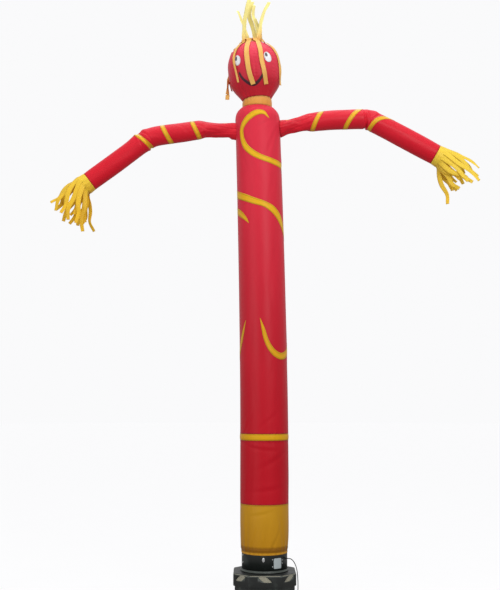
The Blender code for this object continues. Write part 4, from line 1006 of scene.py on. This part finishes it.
def arm_surface(rows, table, side):
    """Rings square to the arm's middle line, their first ones fitted to the trunk.

    Radius at angle t: radius (1 + fold cos(3 t + 1.3 row)), where t runs from
    the arm's top. Creases are read on the map of arc and distance along.
    """
    count = len(rows)
    fine = smooth_path(np.column_stack((rows, np.arange(count))), 18)
    middle, radius, fold, row = fine[:, :3], fine[:, 3], fine[:, 4], fine[:, 5]
    start = lean(middle[0, 2]) + side * (trunk_radius(middle[0, 2]) + TRIM_LIFT)
    keep = side * (middle[:, 0] - start) > 0.0
    first = np.array([start, 0.0, np.interp(start * side, middle[:, 0] * side, middle[:, 2])])
    middle = np.vstack((first, middle[keep]))
    radius, fold, row = (np.concatenate((v[keep][:1], v[keep])) for v in (radius, fold, row))
    along = unit(np.gradient(middle, axis=0))
    level = unit(np.array([0.0, 1.0, 0.0]) - along * along[:, 1:2])
    up = np.cross(along, level)
    up *= np.sign(up[:, 2:3])
    across = np.cross(along, up)
    run = run_along(np.linalg.norm(np.diff(middle, axis=0), axis=1))[:, None]
    t = np.linspace(0.0, FULL_TURN, ARM_SIDES, endpoint=False)[None, :]
    front = t - (math.pi / 2.0 if across[0, 1] < 0.0 else 3.0 * math.pi / 2.0)
    arc = ARM_MAP_RADIUS * (np.mod(front + math.pi, FULL_TURN) - math.pi)
    reach = radius[:, None] * (1.0 + fold[:, None] * np.cos(3.0 * t + 1.3 * row[:, None]))
    reach = reach + creases(arc, run, table)
    limp = np.clip((0.42 - run) / 0.12, 0.0, 1.0)
    reach = reach + limp * 0.0018 * np.cos(7 * t + 3.0 * np.sin(run * 17.0)) * np.sin(run * 9.0 + 0.9)
    reach = reach + puckers(np.degrees(t), run[-1] - run, 13, 0.0020, 0.030)
    reach = reach + puckers(np.degrees(t), run, 12, 0.0034, 0.030)
    reach = reach + 0.030 * np.maximum(-np.cos(t), 0.0) ** 3 * np.exp(-(run / 0.045) ** 2)
    points = (middle[:, None, :] + up[:, None, :] * (reach * np.cos(t))[..., None]
              + across[:, None, :] * (reach * np.sin(t))[..., None])
    azimuth = np.degrees(np.arctan2(side * 0.21, -points[..., 1]))
    r = trunk_radius(points[..., 2]) + trunk_relief(azimuth, points[..., 2]) + TRIM_LIFT
    edge = lean(points[..., 2]) + side * np.sqrt(np.maximum(r ** 2 - points[..., 1] ** 2, 0.0))
    points[..., 0] += (edge[:1] - points[:1, :, 0]) * np.clip(1.0 - run / 0.14, 0.0, 1.0) ** 1.4
    return points


def open_for_arm(piece, table):
    """Takes out the trunk's faces inside an arm's root, short of the root's radius."""
    (x, _, z), radius = table[0][:3], table[0][3] - 0.011
    side = np.sign(x - lean(z))
    before = len(piece.data.polygons)

    def within(face):
        middle = face.calc_center_median()
        return math.hypot(middle.y, middle.z - z) < radius and side * (middle.x - lean(z)) > 0.1

    rework(piece.data, lambda work: bmesh.ops.delete(
        work, geom=[face for face in work.faces if within(face)], context="FACES"))
    return before - len(piece.data.polygons)


left_grid = arm_surface(ARM_LEFT, LEFT_CREASES, -1.0)
right_grid = arm_surface(ARM_RIGHT, RIGHT_CREASES, 1.0)
opened = open_for_arm(trunk, ARM_LEFT), open_for_arm(trunk, ARM_RIGHT)
arm_left = make_sheet("arm_left_cloth", [(left_grid, True, "ends")], red_arm, ["arm_left"])
arm_right = make_sheet("arm_right_cloth", [(right_grid, True, "ends")], red_arm, ["arm_right"])
print("arms:", measure(left_grid), measure(right_grid), "trunk faces taken out:", opened)

# %% Bands round the arms
# Side, x and z on the arm's middle line, slant from upright, width, bend
ARM_BANDS = ((-1, -0.680, 4.573, 25, 0.044, 0.6), (-1, -0.972, 4.530, 27, 0.044, 0.9),
             (-1, -1.186, 4.450, 50, 0.042, 0.3), (1, 0.522, 4.668, -25, 0.044, 0.5),
             (1, 0.869, 4.694, -36, 0.044, 0.8), (1, 1.116, 4.660, -56, 0.044, 2.6))


def band_grid(surface, x, z, slant, width, bend, rows=9):
    """The part of an arm between two bent planes set the band's width apart.

    Distance from the middle: off = across the plane - bend (along it) ** 2.
    Along each line of the arm's grid it grows steadily, so the place where it
    takes a given value is found between two neighbouring points of the line.
    """
    turn = math.radians(slant)
    square = np.array([math.cos(turn), 0.0, math.sin(turn)])
    spot = np.array([x, 0.0, z])
    centre = surface.mean(1)
    near = np.nonzero(np.linalg.norm((centre - spot)[:, (0, 2)], axis=1) < 0.30)[0]
    part = (surface + grid_normals(surface) * TRIM_LIFT)[near]
    beside = np.array([-square[2], 0.0, square[0]])
    off = (part - spot) @ square - bend * ((part - spot) @ beside) ** 2
    if off[-1].mean() < off[0].mean():
        off = -off
    wanted = np.linspace(-width / 2.0, width / 2.0, rows)[:, None, None]
    low = np.clip((off[None] < wanted).sum(1) - 1, 0, len(near) - 2)
    column = np.arange(surface.shape[1])[None, :]
    share = (wanted[:, 0] - off[low, column]) / (off[low + 1, column] - off[low, column])
    share = np.clip(share, 0.0, 1.0)[..., None]
    return part[low, column] * (1.0 - share) + part[low + 1, column] * share


bands = []
for index, (side, x, z, slant, width, bend) in enumerate(ARM_BANDS):
    grid = band_grid(left_grid if side < 0 else right_grid, x, z, slant, width, bend)
    bands.append(make_sheet(f"arm_band_{index + 1}_cloth", [(grid, True, "ends")], arm_yellow,
                            [f"arm_band_{index + 1}"], TRIM_THICK))
print("bands:", len(bands))

# %% [markdown]
# ## Hair and hands
# Each bundle is a short collar of nylon whose far edge is cut into strips. A
# strip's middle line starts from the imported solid's route, moved where the
# photo shows it elsewhere. It is cupped across its width, and its free end
# curls and turns a little. In each hand a second, shorter layer of strips
# grows inside the first and fills the spaces near the wrist.

# %% Strips of nylon
STRIP_COLUMNS = 7


def strip_grid(path, edge, width, facing, cup, curl, steps, taper=0.88, settle=0.30, turned_by=0.35):
    """Cupped strip that starts on its collar's edge.

    The first row is the collar's own edge between two slots. Further on the
    strip turns to the facing direction, and its width changes from the
    slot's width to its own over the settling share of the length.
    """
    share = np.linspace(0.0, 1.0, steps)
    route = smooth_path(path, 12)
    length = run_along(np.linalg.norm(np.diff(route, axis=0), axis=1))
    spots = np.stack([np.interp(share * length[-1], length, route[:, k]) for k in range(3)], -1)
    along = unit(np.gradient(spots, axis=0))
    begin = edge[-1] - edge[0]
    wide = np.linalg.norm(begin)
    goal = np.atleast_2d(facing(spots))
    goal = goal * np.sign((goal * begin).sum(1, keepdims=True))
    ease = np.clip(share / turned_by, 0.0, 1.0)[:, None]
    flat = begin / wide * (1.0 - ease) + goal * ease
    flat = unit(flat - along * (flat * along).sum(1, keepdims=True))
    out = np.cross(flat, along)
    widths = wide + (width - wide) * np.clip(share / settle, 0.0, 1.0)
    widths = widths * (1.0 - (1.0 - taper) * share)
    t = np.linspace(-0.5, 0.5, len(edge))[None, :]
    rise = np.sin(math.pi * np.clip(share * 1.4, 0.0, 1.0))[:, None]
    arch = widths[:, None] * cup * (0.25 - t ** 2) * rise
    wave = 0.005 * np.sin(share * 17.0 + curl * 5.0)[:, None] * share[:, None] * (0.4 + t)
    lift = arch + wave + curl * 0.02 * (share ** 4)[:, None]
    points = spots[:, None, :] + flat[:, None, :] * (widths[:, None] * t)[..., None]
    points = points + out[:, None, :] * lift[..., None]
    blend = np.clip(share / 0.06, 0.0, 1.0)[:, None, None]
    return edge[None] * (1.0 - blend) + points * blend


print("strip helpers ready")

# %% Hair round the crown's vent
HAIR_SLOTS = 12
HAIR_LIFT = 0.009
HAIR_FALLING = (
    (5, 0.052, ((-14, 0.540), (-15, 0.455), (-15, 0.358), (-13, 0.206), (-8, 0.096))),
    (6, 0.048, ((18, 0.540), (15, 0.430), (15, 0.305), (19, 0.190), (26, 0.094))),
    (4, 0.036, ((-45, 0.530), (-46, 0.456), (-47, 0.369), (-43, 0.238), (-44, 0.140))),
    (3, 0.044, ((-84, 0.530), (-110, 0.450), (-119, 0.370), (-113, 0.290), (-94, 0.215))),
    (8, 0.046, ((54, 0.540), (58, 0.480), (62, 0.400), (64, 0.320), (65, 0.240), (68, 0.170))),
    (2, 0.030, ((-108, 0.530), (-112, 0.430), (-114, 0.320), (-112, 0.220), (-110, 0.150))),
)
HAIR_HANGING = {3: (0.180, -0.010), 8: (0.070, 0.0)}
HAIR_STANDING = (
    (1, 0.046, ((-0.196, 0.055, 5.560), (-0.193, 0.045, 5.690), (-0.178, 0.030, 5.815),
                (-0.146, 0.020, 5.950))),
    (0, 0.030, ((-0.158, 0.098, 5.580), (-0.190, 0.120, 5.680), (-0.222, 0.135, 5.780),
                (-0.260, 0.140, 5.882))),
    (11, 0.046, ((-0.088, 0.096, 5.580), (-0.114, 0.092, 5.700), (-0.148, 0.090, 5.815),
                 (-0.116, 0.085, 5.955))),
    (10, 0.036, ((-0.052, 0.070, 5.590), (-0.074, 0.064, 5.690), (-0.104, 0.060, 5.800),
                 (-0.092, 0.056, 5.905))),
    (9, 0.026, ((-0.028, 0.030, 5.585), (-0.052, 0.020, 5.660), (-0.088, 0.000, 5.735))),
    (7, 0.040, ((-0.040, -0.060, 5.560), (-0.026, -0.050, 5.680), (0.012, -0.045, 5.800),
                (0.060, -0.040, 5.885))),
)
hair_yellow = nylon("hair nylon", paint(238, 180, 94), paint(252, 236, 146), (5.46, 5.66), slack=0.002,
                    across=14.0, along=6.0)


def over_head(azimuth, s):
    """Point off the head's cloth, square to its profile, at the hair's lift."""
    here, near = (np.interp(s + d, HEAD_PROFILE[:, 0], HEAD_PROFILE[:, 1]) for d in (0.0, 0.002))
    slope = math.atan2(here - near, 0.002)
    return from_axis(math.radians(azimuth), s + HAIR_LIFT * math.sin(slope),
                     here + HAIR_LIFT * math.cos(slope))


def hair_grids():
    """The collar's grid, then one strip for each slot."""
    base = HEAD_CENTRE + HEAD_RADIUS * math.sin(math.radians(VENT_ANGLE))
    rim = HEAD_RADIUS * math.cos(math.radians(VENT_ANGLE))
    sides = HAIR_SLOTS * (STRIP_COLUMNS - 1)
    azimuth = -180.0 + np.arange(sides) * 360.0 / sides
    rise = np.linspace(0.0, 1.0, 8)[:, None]
    a = np.radians(azimuth)[None, :]
    r = rim - 0.003 * rise + 0.0024 * np.cos(17 * a + 2 * np.sin(3 * a)) * rise
    collar = from_axis(a, base + 0.0004 + 0.018 * rise, r)
    grids = [(collar, True, "none")]

    def hanging(spots):
        """Level round the head, a little towards the picture's plane, and wholly so low down."""
        way = unit(np.cross(HEAD_UP, spots - HEAD_SEAT))
        low = np.clip((5.025 - spots[:, 2:3]) / 0.10, 0.0, 1.0)
        way = way + np.sign(way[:, :1]) * np.array([0.35, 0.0, 0.0]) * np.abs(way[:, 1:2])
        return way * (1.0 - low) + np.sign(way[:, :1]) * np.array([1.0, 0.0, 0.0]) * low

    def slot_edge(slot):
        first = slot * (STRIP_COLUMNS - 1)
        return collar[-1, np.arange(first, first + STRIP_COLUMNS) % sides]

    def above(azimuth, rise, radius):
        return from_axis(math.radians(azimuth), base + rise, radius)

    for slot, width, rows in HAIR_FALLING:
        azimuth = -165.0 + 30.0 * slot
        route = [slot_edge(slot).mean(0), above(azimuth, 0.031, rim + 0.002),
                 above(azimuth, 0.026, rim + 0.022)]
        route += [over_head(a, s) for a, s in (((azimuth + rows[0][0]) / 2.0, 0.568), *rows)]
        if slot in HAIR_HANGING:
            drop, drift = HAIR_HANGING[slot]
            low = route[-1] + np.array([drift, 0.0, -drop])
            route += [(route[-1] + low) / 2.0, low]
        grids.append((strip_grid(route, slot_edge(slot), width, hanging, 0.22, -0.3, 64,
                                 0.55 if slot in (4, 8) else 0.90, turned_by=0.16), False, "none"))
    for slot, width, rows in HAIR_STANDING:
        route = [slot_edge(slot).mean(0), above(-165.0 + 30.0 * slot, 0.034, rim - 0.004)]
        route += [np.array(row) for row in rows]
        turned = unit(np.array([1.0, 0.55 * (-1.0) ** slot, 0.0]))
        grids.append((strip_grid(route, slot_edge(slot), width, lambda spots: turned[None],
                                 0.30, 0.4, 60, 1.0), False, "none"))
    return grids


hair = make_sheet("hair_cloth", hair_grids(), hair_yellow, ["hair"], STRIP_THICK, weld=True)
print("hair faces:", len(hair.data.polygons))

# %% Hands: collars and fans of strips
HAND_SLOTS = 12
# Ends of the strips, from the middle of the wrist
HAND_LEFT = (
    (-0.376, 0.030, -0.215), (-0.345, 0.090, -0.262), (-0.277, 0.120, -0.370),
    (-0.214, 0.140, -0.398), (-0.140, 0.120, -0.415), (-0.078, 0.070, -0.427),
    (0.040, 0.000, -0.502), (-0.042, -0.075, -0.508), (-0.105, -0.125, -0.440),
    (-0.180, -0.140, -0.405), (-0.245, -0.125, -0.345), (-0.320, -0.080, -0.300),
)
HAND_RIGHT = (
    (0.412, -0.030, -0.155), (0.405, -0.090, -0.236), (0.392, -0.120, -0.300),
    (0.335, -0.140, -0.308), (0.292, -0.120, -0.300), (0.217, -0.070, -0.357),
    (0.118, 0.000, -0.505), (0.172, 0.075, -0.357), (0.240, 0.125, -0.330),
    (0.300, 0.140, -0.270), (0.350, 0.125, -0.225), (0.390, 0.080, -0.170),
)
hand_yellow = nylon("hand nylon", paint(240, 186, 40), paint(246, 208, 66), (3.6, 4.3), slack=0.002,
                    across=14.0, along=6.0)


def fan(collar, along, ends, shift, width, settle, every=1):
    """Strips that grow from a collar's edge towards their ends.

    A strip leaves along the arm, sags and bends to its end. Its flat side
    turns from the collar's own round towards the picture's plane, and every
    other strip lies a little further out, so that neighbours overlap.
    """
    sides = collar.shape[1]
    grids = []
    for slot in range(0, len(ends), every):
        tip = ends[slot]
        sign = (-1.0) ** (slot // every)
        first = slot * (STRIP_COLUMNS - 1) + shift
        edge = collar[-1, np.arange(first, first + STRIP_COLUMNS) % sides]
        middle = edge.mean(0)
        out = unit(middle - collar[-1].mean(0))
        way = tip - middle
        size = np.linalg.norm(way)
        side = unit(np.cross(way, (0.0, 1.0, 0.0)))
        beside = unit(ends[(slot + 1) % HAND_SLOTS] - ends[slot - 1])
        side = side * (1.0 if side @ beside >= 0.0 else -1.0)
        sag = along * size
        route = [middle, middle + along * 0.030 + out * 0.004,
                 middle + way * 0.36 + sag * 0.08 + side * 0.006 * sign + out * (0.014 + 0.005 * sign),
                 middle + way * 0.70 + sag * 0.05 - side * 0.016 * sign + out * 0.010, tip]
        turned = unit(0.7 * beside + 0.8 * side)
        grids.append((strip_grid(route, edge, width, lambda spots: turned[None], 0.24, 0.9 * sign, 60,
                                 0.52, settle), False, "none"))
    return grids


def hand_grids(surface, tips):
    """Two collars that carry the wrist's own ring on, each with its fan of strips."""
    wrist = surface[-1].mean(0)
    along = unit(surface[-1].mean(0) - surface[-12].mean(0))
    sides = HAND_SLOTS * (STRIP_COLUMNS - 1)
    turn = np.arange(sides) / sides * surface.shape[1]
    low = np.floor(turn).astype(int)
    share = (turn - low)[:, None]
    ring = surface[-1, low] * (1.0 - share) + surface[-1, (low + 1) % surface.shape[1]] * share
    step = np.linspace(0.0, 1.0, 14)[:, None, None]
    t = (turn / surface.shape[1] * FULL_TURN)[None, :, None]
    gather = 1.0 + 0.05 * step + 0.020 * step * np.cos(11 * t + 2.0 * np.sin(3 * t))
    outer = wrist + (ring - wrist)[None] * gather + along * (0.0004 + 0.055 * step)
    inner = wrist + (ring - wrist)[None] * (gather - 0.09) + along * (0.002 + 0.050 * step)
    ends = wrist + np.array(tips)
    between = (ends + np.roll(ends, -1, axis=0)) / 2.0
    between = wrist + (between - wrist) * 0.72 + (ends.mean(0) - wrist) * 0.12
    grids = [(outer, True, "none"), (inner, True, "none")]
    grids += fan(outer, along, ends, 0, 0.062, 0.42)
    grids += fan(inner, along, between, 3, 0.054, 0.42, every=2)
    return grids


hands = [make_sheet(f"{name}_cloth", hand_grids(surface, tips), hand_yellow, [name],
                    STRIP_THICK, weld=True)
         for name, surface, tips in (("hand_left", left_grid, HAND_LEFT),
                                     ("hand_right", right_grid, HAND_RIGHT))]
print("hands:", [len(hand.data.polygons) for hand in hands])

# %% [markdown]
# ## The blower
# The base and the shroud are eight-sided mouldings with wide bevels and
# rounded corners. A rounded octagon has a simple formula: at each angle, add
# up high powers of the distances to its eight sides. The shroud's deck turns
# from an octagon to a circle under the drum's collar. Each side has a slanted leaf-shaped window over
# the perforated guard.

# %% Moulded octagons
BASE_ACROSS, SHROUD_ACROSS = 0.557, 0.585
CORNER_GAIN = 1.0818
CORNER_POWER = 70.0
OCTAGON_SIDES, LATHE_SIDES, FOOT_SIDES = 192, 128, 48


def octagon(across, azimuth):
    """Radius of a rounded octagon whose slanted sides stand a little further out.

    At each angle: (sum over sides of (cos(angle off the side) / distance) ** power)
    to the power of minus one over it.
    """
    half = across / 2.0
    slanted = half * CORNER_GAIN
    total = np.zeros_like(azimuth, dtype=float)
    for k in range(8):
        distance = half if k % 2 == 0 else slanted
        lean_in = np.maximum(np.cos(azimuth - k * math.pi / 4.0), 0.0) / distance
        total += (lean_in * half) ** CORNER_POWER
    return half * total ** (-1.0 / CORNER_POWER)


def moulding(name, rows, finish, replaces):
    """Rows of (across, height, roundness): 1 keeps the octagon and 0 makes a circle."""
    turn = np.linspace(0.0, FULL_TURN, OCTAGON_SIDES, endpoint=False)[None, :]
    across, z, square = (rows[:, k][:, None] for k in range(3))
    shape = octagon(SHROUD_ACROSS, turn) * across / SHROUD_ACROSS
    points = turned_point(turn, shape * square + across / 2.0 * (1.0 - square), z)
    return make_sheet(name, [(points, True, "none")], finish, replaces, 0.0, weld=True)


print("moulding helpers ready")

# %% Finishes for the blower
def moulded_plastic(name, base, scuff_and_sheen, roughness, grain_size=0.0016):
    """Moulded plastic: fine grain, pale scuffs in patches, a painted highlight on rounded edges, dust low
    down.
    """
    made, tree, shader = new_finish(name, roughness)
    place = object_place(tree)
    scuff = ramp(tree, noise(tree, place, 9.0, 6.0), 0.52, 0.72)
    colour = lay_over(tree, base, scuff, 0.5, scuff_and_sheen)
    # Painted highlight: rounded edges between level and upright take a paler tone of the scuff colour.
    tilt = upward_tilt(tree)
    edge = calculate(tree, "MULTIPLY", ramp(tree, tilt, 0.15, 0.45),
                     one_minus(tree, ramp(tree, tilt, 0.70, 0.92)))
    colour = lay_over(tree, colour, edge, 0.5, tint(scuff_and_sheen, 1.5))
    dust = one_minus(tree, ramp(tree, split_place(tree, place)[2], 0.0, 0.24))
    colour = lay_over(tree, colour, dust, 0.18, paint(120, 116, 108))
    tree.links.new(colour, shader.inputs["Base Color"])
    rough = calculate(tree, "MULTIPLY_ADD", scuff, 0.14, roughness)
    tree.links.new(rough, shader.inputs["Roughness"])
    raise_surface(tree, shader, noise(tree, place, 1.0 / grain_size), 0.00025)
    return made


HOLE_PITCH = 0.0075
GUARD_RADIUS = 0.29


def pierced_steel(name):
    """Guard sheet with a close pattern of round holes drawn in colour: each hole is a dark dot, a painted
    shade for the blower's inside seen through it.
    """
    made, tree, shader = new_finish(name, 0.5, 0.3)
    x, y, z = split_place(tree, object_place(tree))[:3]
    arc = calculate(tree, "MULTIPLY", calculate(tree, "ARCTAN2", x, y), GUARD_RADIUS)
    row = calculate(tree, "DIVIDE", z, HOLE_PITCH * 0.866)
    odd = calculate(tree, "MULTIPLY", calculate(tree, "MODULO", calculate(tree, "FLOOR", row), 2.0), 0.5)
    column = calculate(tree, "ADD", calculate(tree, "DIVIDE", arc, HOLE_PITCH), odd)
    squares = []
    for place in (column, row):
        side = calculate(tree, "SUBTRACT", calculate(tree, "FRACT", place), 0.5)
        squares.append(calculate(tree, "MULTIPLY", side, side))
    off = calculate(tree, "SQRT", calculate(tree, "ADD", *squares))
    solid = ramp(tree, off, 0.24, 0.32)
    # Painted shade: the hole dots are dark, and the sheet between them is pale.
    colour = blend_colours(tree, solid, paint(34, 34, 32), paint(188, 184, 164))
    tree.links.new(colour, shader.inputs["Base Color"])
    raise_surface(tree, shader, solid, 0.0008)
    return made


def grained(name, colour, other, roughness, metallic, scale):
    """Fine noise between two colours, which also raises the surface a little."""
    made, tree, shader = new_finish(name, roughness, metallic)
    grain = noise(tree, object_place(tree), scale)
    tree.links.new(blend_colours(tree, grain, colour, other), shader.inputs["Base Color"])
    raise_surface(tree, shader, grain, 0.0001)
    return made


black_moulding = moulded_plastic("black moulded plastic", paint(26, 29, 28), paint(70, 78, 72), 0.40)
black_drum = moulded_plastic("black drum plastic", paint(26, 31, 29), paint(60, 70, 66), 0.36, 0.0012)
pale_plate = moulded_plastic("bare pale plate", paint(178, 188, 190), paint(150, 160, 162), 0.40, 0.0008)
guard_steel = pierced_steel("pierced guard steel")
zinc, rubber = paint(204, 206, 206), paint(26, 26, 27)
zinc_steel = grained("zinc plated steel", zinc, tint(zinc, 0.7), 0.34, 0.55, 260.0)
black_rubber = grained("black rubber", rubber, tint(rubber, 1.6), 0.62, 0.0, 900.0)
print("blower finishes made")

# %% Housing, drum and collar
BORE_RADIUS = 0.195
DRUM_RADIUS = 0.2145


def base_rows():
    """Tub with a turned-in lip underneath, rounded lower and upper edges and a thin wall."""
    turn = np.linspace(0.0, math.pi / 2.0, 7)
    lower = np.column_stack((BASE_ACROSS - 0.030 * (1.0 - np.sin(turn)), 0.0353 - 0.015 * np.cos(turn),
                             np.ones(7)))
    outer = [(0.437, 0.0203, 1.0), (0.480, 0.0203, 1.0), *lower, (BASE_ACROSS, 0.110, 1.0),
             (BASE_ACROSS, 0.196, 1.0), (BASE_ACROSS - 0.002, 0.2010, 1.0), (BASE_ACROSS, 0.2050, 1.0),
             (BASE_ACROSS, 0.2097, 1.0)]
    inner = [(BASE_ACROSS - 0.006, 0.2097, 1.0), (BASE_ACROSS - 0.006, 0.040, 1.0),
             (BASE_ACROSS - 0.030, 0.0233, 1.0), (0.437, 0.0233, 1.0)]
    return np.vstack((outer, inner, outer[:1]))


def shroud_rows():
    """Lip, upright side, wide rounded shoulder, a deck that turns round, and the wall inside."""
    turn = np.linspace(0.0, math.pi / 2.0, 12)
    shoulder = np.column_stack((SHROUD_ACROSS - 0.036 * (1.0 - np.cos(turn)),
                                0.3070 + 0.0180 * np.sin(turn), np.ones(12)))
    outer = [(0.541, 0.2103, 1.0), (SHROUD_ACROSS - 0.008, 0.2103, 1.0),
             (SHROUD_ACROSS - 0.002, 0.2118, 1.0), (SHROUD_ACROSS, 0.2160, 1.0),
             (SHROUD_ACROSS, 0.2600, 1.0), *shoulder, (0.500, 0.3250, 0.75), (0.460, 0.3250, 0.35),
             (2 * BORE_RADIUS, 0.3250, 0.0)]
    inner = [(2 * BORE_RADIUS, 0.3220, 0.0), (0.460, 0.3220, 0.35), (0.500, 0.3220, 0.75),
             (SHROUD_ACROSS - 0.040, 0.3212, 1.0), (SHROUD_ACROSS - 0.006, 0.3060, 1.0),
             (SHROUD_ACROSS - 0.006, 0.2140, 1.0), (0.541, 0.2133, 1.0)]
    return np.vstack((outer, inner, outer[:1]))


def lathe(name, rows, finish, replaces, sides=LATHE_SIDES, x=0.0, y=0.0):
    """Profile of (radius, height) rows turned round an upright axis at x, y."""
    turn = np.linspace(0.0, FULL_TURN, sides, endpoint=False)[None, :]
    r, z = (np.array(rows)[:, k][:, None] for k in range(2))
    points = turned_point(turn, r, z, x, y)
    return make_sheet(name, [(points, True, "none")], finish, replaces, 0.0, weld=True)


WINDOW = ((-0.064, 0.308), (-0.052, 0.3125), (-0.040, 0.3145), (-0.018, 0.3150), (0.004, 0.314),
          (0.021, 0.3045), (0.036, 0.292), (0.051, 0.2780), (0.064, 0.266), (0.052, 0.2630),
          (0.040, 0.2615), (0.017, 0.2618), (-0.006, 0.264), (-0.023, 0.2735), (-0.038, 0.286),
          (-0.052, 0.2985))


def window_tool(index):
    """Leaf-shaped prism through one side of the shroud, mirrored on every other side."""
    outline = np.array(WINDOW) * ((1.0, 1.0) if index % 2 == 0 else (-1.0, 1.0))
    turn = index * math.pi / 4.0
    out = np.array([math.sin(turn), -math.cos(turn), 0.0])
    side = np.array([math.cos(turn), math.sin(turn), 0.0])
    flat = side * outline[:, :1] + np.array([0.0, 0.0, 1.0]) * outline[:, 1:]
    count = len(outline)
    points = np.vstack((flat + out * 0.25, flat + out * 0.36))
    faces = [tuple(range(count)), tuple(range(2 * count - 1, count - 1, -1))]
    faces += [(k, k + count, (k + 1) % count + count, (k + 1) % count) for k in range(count)]
    mesh = bpy.data.meshes.new("window_tool")
    mesh.from_pydata(points.tolist(), [], faces)
    rework(mesh, lambda work: bmesh.ops.recalc_face_normals(work, faces=work.faces))
    tool = bpy.data.objects.new("window_tool", mesh)
    bpy.context.scene.collection.objects.link(tool)
    return tool


def cut_windows(piece):
    """Takes all eight window prisms out of a piece and keeps the result as its mesh."""
    tools = [window_tool(index) for index in range(8)]
    for tool in tools:
        cut = piece.modifiers.new("window", "BOOLEAN")
        cut.object = tool
        cut.solver = "EXACT"
    bpy.context.view_layer.update()
    graph = bpy.context.evaluated_depsgraph_get()
    mesh = bpy.data.meshes.new_from_object(piece.evaluated_get(graph))
    piece.modifiers.clear()
    piece.data = mesh
    for tool in tools:
        bpy.data.objects.remove(tool)


blower_base = moulding("blower_base_moulding", base_rows(), black_moulding,
                       ["blower_base"])
shroud = moulding("blower_shroud_moulding", shroud_rows(), black_moulding,
                  ["blower_shroud"])
cut_windows(shroud)
DRUM_FOOT_Z = 0.3253
DRUM_ROWS = ((DRUM_RADIUS, DRUM_FOOT_Z), (DRUM_RADIUS, 0.5585), (DRUM_RADIUS - 0.0008, 0.5600),
             (DRUM_RADIUS - 0.0030, 0.5600), (DRUM_RADIUS - 0.0030, DRUM_FOOT_Z),
             (DRUM_RADIUS, DRUM_FOOT_Z))
drum = lathe("blower_drum_wall", DRUM_ROWS, black_drum, ["blower_drum"])
FLANGE = ((1.00, 0.00), (1.00, 0.30), (0.94, 0.42), (0.80, 0.50), (0.62, 0.58), (0.46, 0.70),
          (0.36, 0.84), (0.30, 0.97), (0.24, 1.00), (0.06, 1.00), (0.02, 0.96), (0.02, 0.00),
          (1.00, 0.00))
FLANGE_ROWS = np.array(FLANGE) * (0.0112, 0.024) + (DRUM_RADIUS + 0.0003, DRUM_FOOT_Z)
flange = lathe("collar_flange_ring", FLANGE_ROWS, black_moulding, ["collar_flange"])


def bent_plate(low, high, bottom, top):
    """Thin plate bent to the drum, with rounded corners drawn by a grid of points."""
    a, b = np.meshgrid(np.linspace(-1.0, 1.0, 30), np.linspace(-1.0, 1.0, 30))
    edge = np.maximum(np.abs(a), np.abs(b))
    power = 9.0
    length = (np.abs(a) ** power + np.abs(b) ** power) ** (1.0 / power)
    scale = np.where(length > 0.0, edge / np.maximum(length, 1e-9), 1.0)
    turn = np.radians((low + high) / 2.0 + (high - low) / 2.0 * a * scale)
    z = (bottom + top) / 2.0 + (top - bottom) / 2.0 * b * scale
    return turned_point(turn, DRUM_RADIUS + 0.0019, z)


plate = make_sheet("rating_plate_bare", [(bent_plate(22.5, 45.0, 0.368, 0.462), False, "none")],
                   pale_plate, ["rating_plate"], 0.0014)
print("housing, drum, collar and plate made")

# %% Feet
FOOT_ROWS = ((0.0, 0.0), (0.020, 0.0), (0.0235, 0.0010), (0.0250, 0.0040), (0.0258, 0.0100),
             (0.0258, 0.0180), (0.0246, 0.0200), (0.0, 0.0200))
FOOT_REACH = 0.182
FOOT_SIGNS = ((-1, -1), (1, -1), (1, 1), (-1, 1))
feet = [lathe(f"foot_{k + 1}_pad", FOOT_ROWS, black_rubber, [f"foot_{k + 1}"],
              FOOT_SIDES, FOOT_REACH * x, FOOT_REACH * y) for k, (x, y) in enumerate(FOOT_SIGNS)]
print("feet:", len(feet))

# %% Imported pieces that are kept, and their finishes
SCREWS = [f"plate_screw_{k}" for k in range(1, 5)]
KEPT = ((guard_steel, "guard_steel", ["inlet_guard"]),
        (black_rubber, "black_rubber", ["cord_gland", "plug"]),
        (zinc_steel, "zinc_steel",
         ["plug_pin_1", "plug_pin_2", "drum_catch", "drum_bolt_1", "drum_bolt_2", *SCREWS]))
for finish, slot_name, names in KEPT:
    for name in names:
        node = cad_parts[name]
        node.data.materials.clear()
        node.data.materials.append(finish)
print("kept pieces:", sum(len(names) for _, _, names in KEPT))

# %% [markdown]
# ## What is soft
# The last step finishes the lead, hides the imported cord, and prints the
# cloth pieces' flat sizes in metres.

# %% The lead, and the cloth's flat sizes
mains_lead.data.materials.append(black_rubber)
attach(mains_lead, "root")
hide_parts("cord", "cord_coil")

# Each sheet's flat size is its grid's mean girth and length.
for piece, grid, others in ((skirt, skirt_grid, ()), (lower_tube, tube_grid, ()), (ring, ring_grid, ()),
                            (trunk, trunk_grid, swirls), (neck, neck_grid, ()),
                            (head, head_grid, face + [hair]),
                            (arm_left, left_grid, bands[:3] + hands[:1]),
                            (arm_right, right_grid, bands[3:] + hands[1:])):
    print(piece.name, "flat size in metres:", measure(grid))
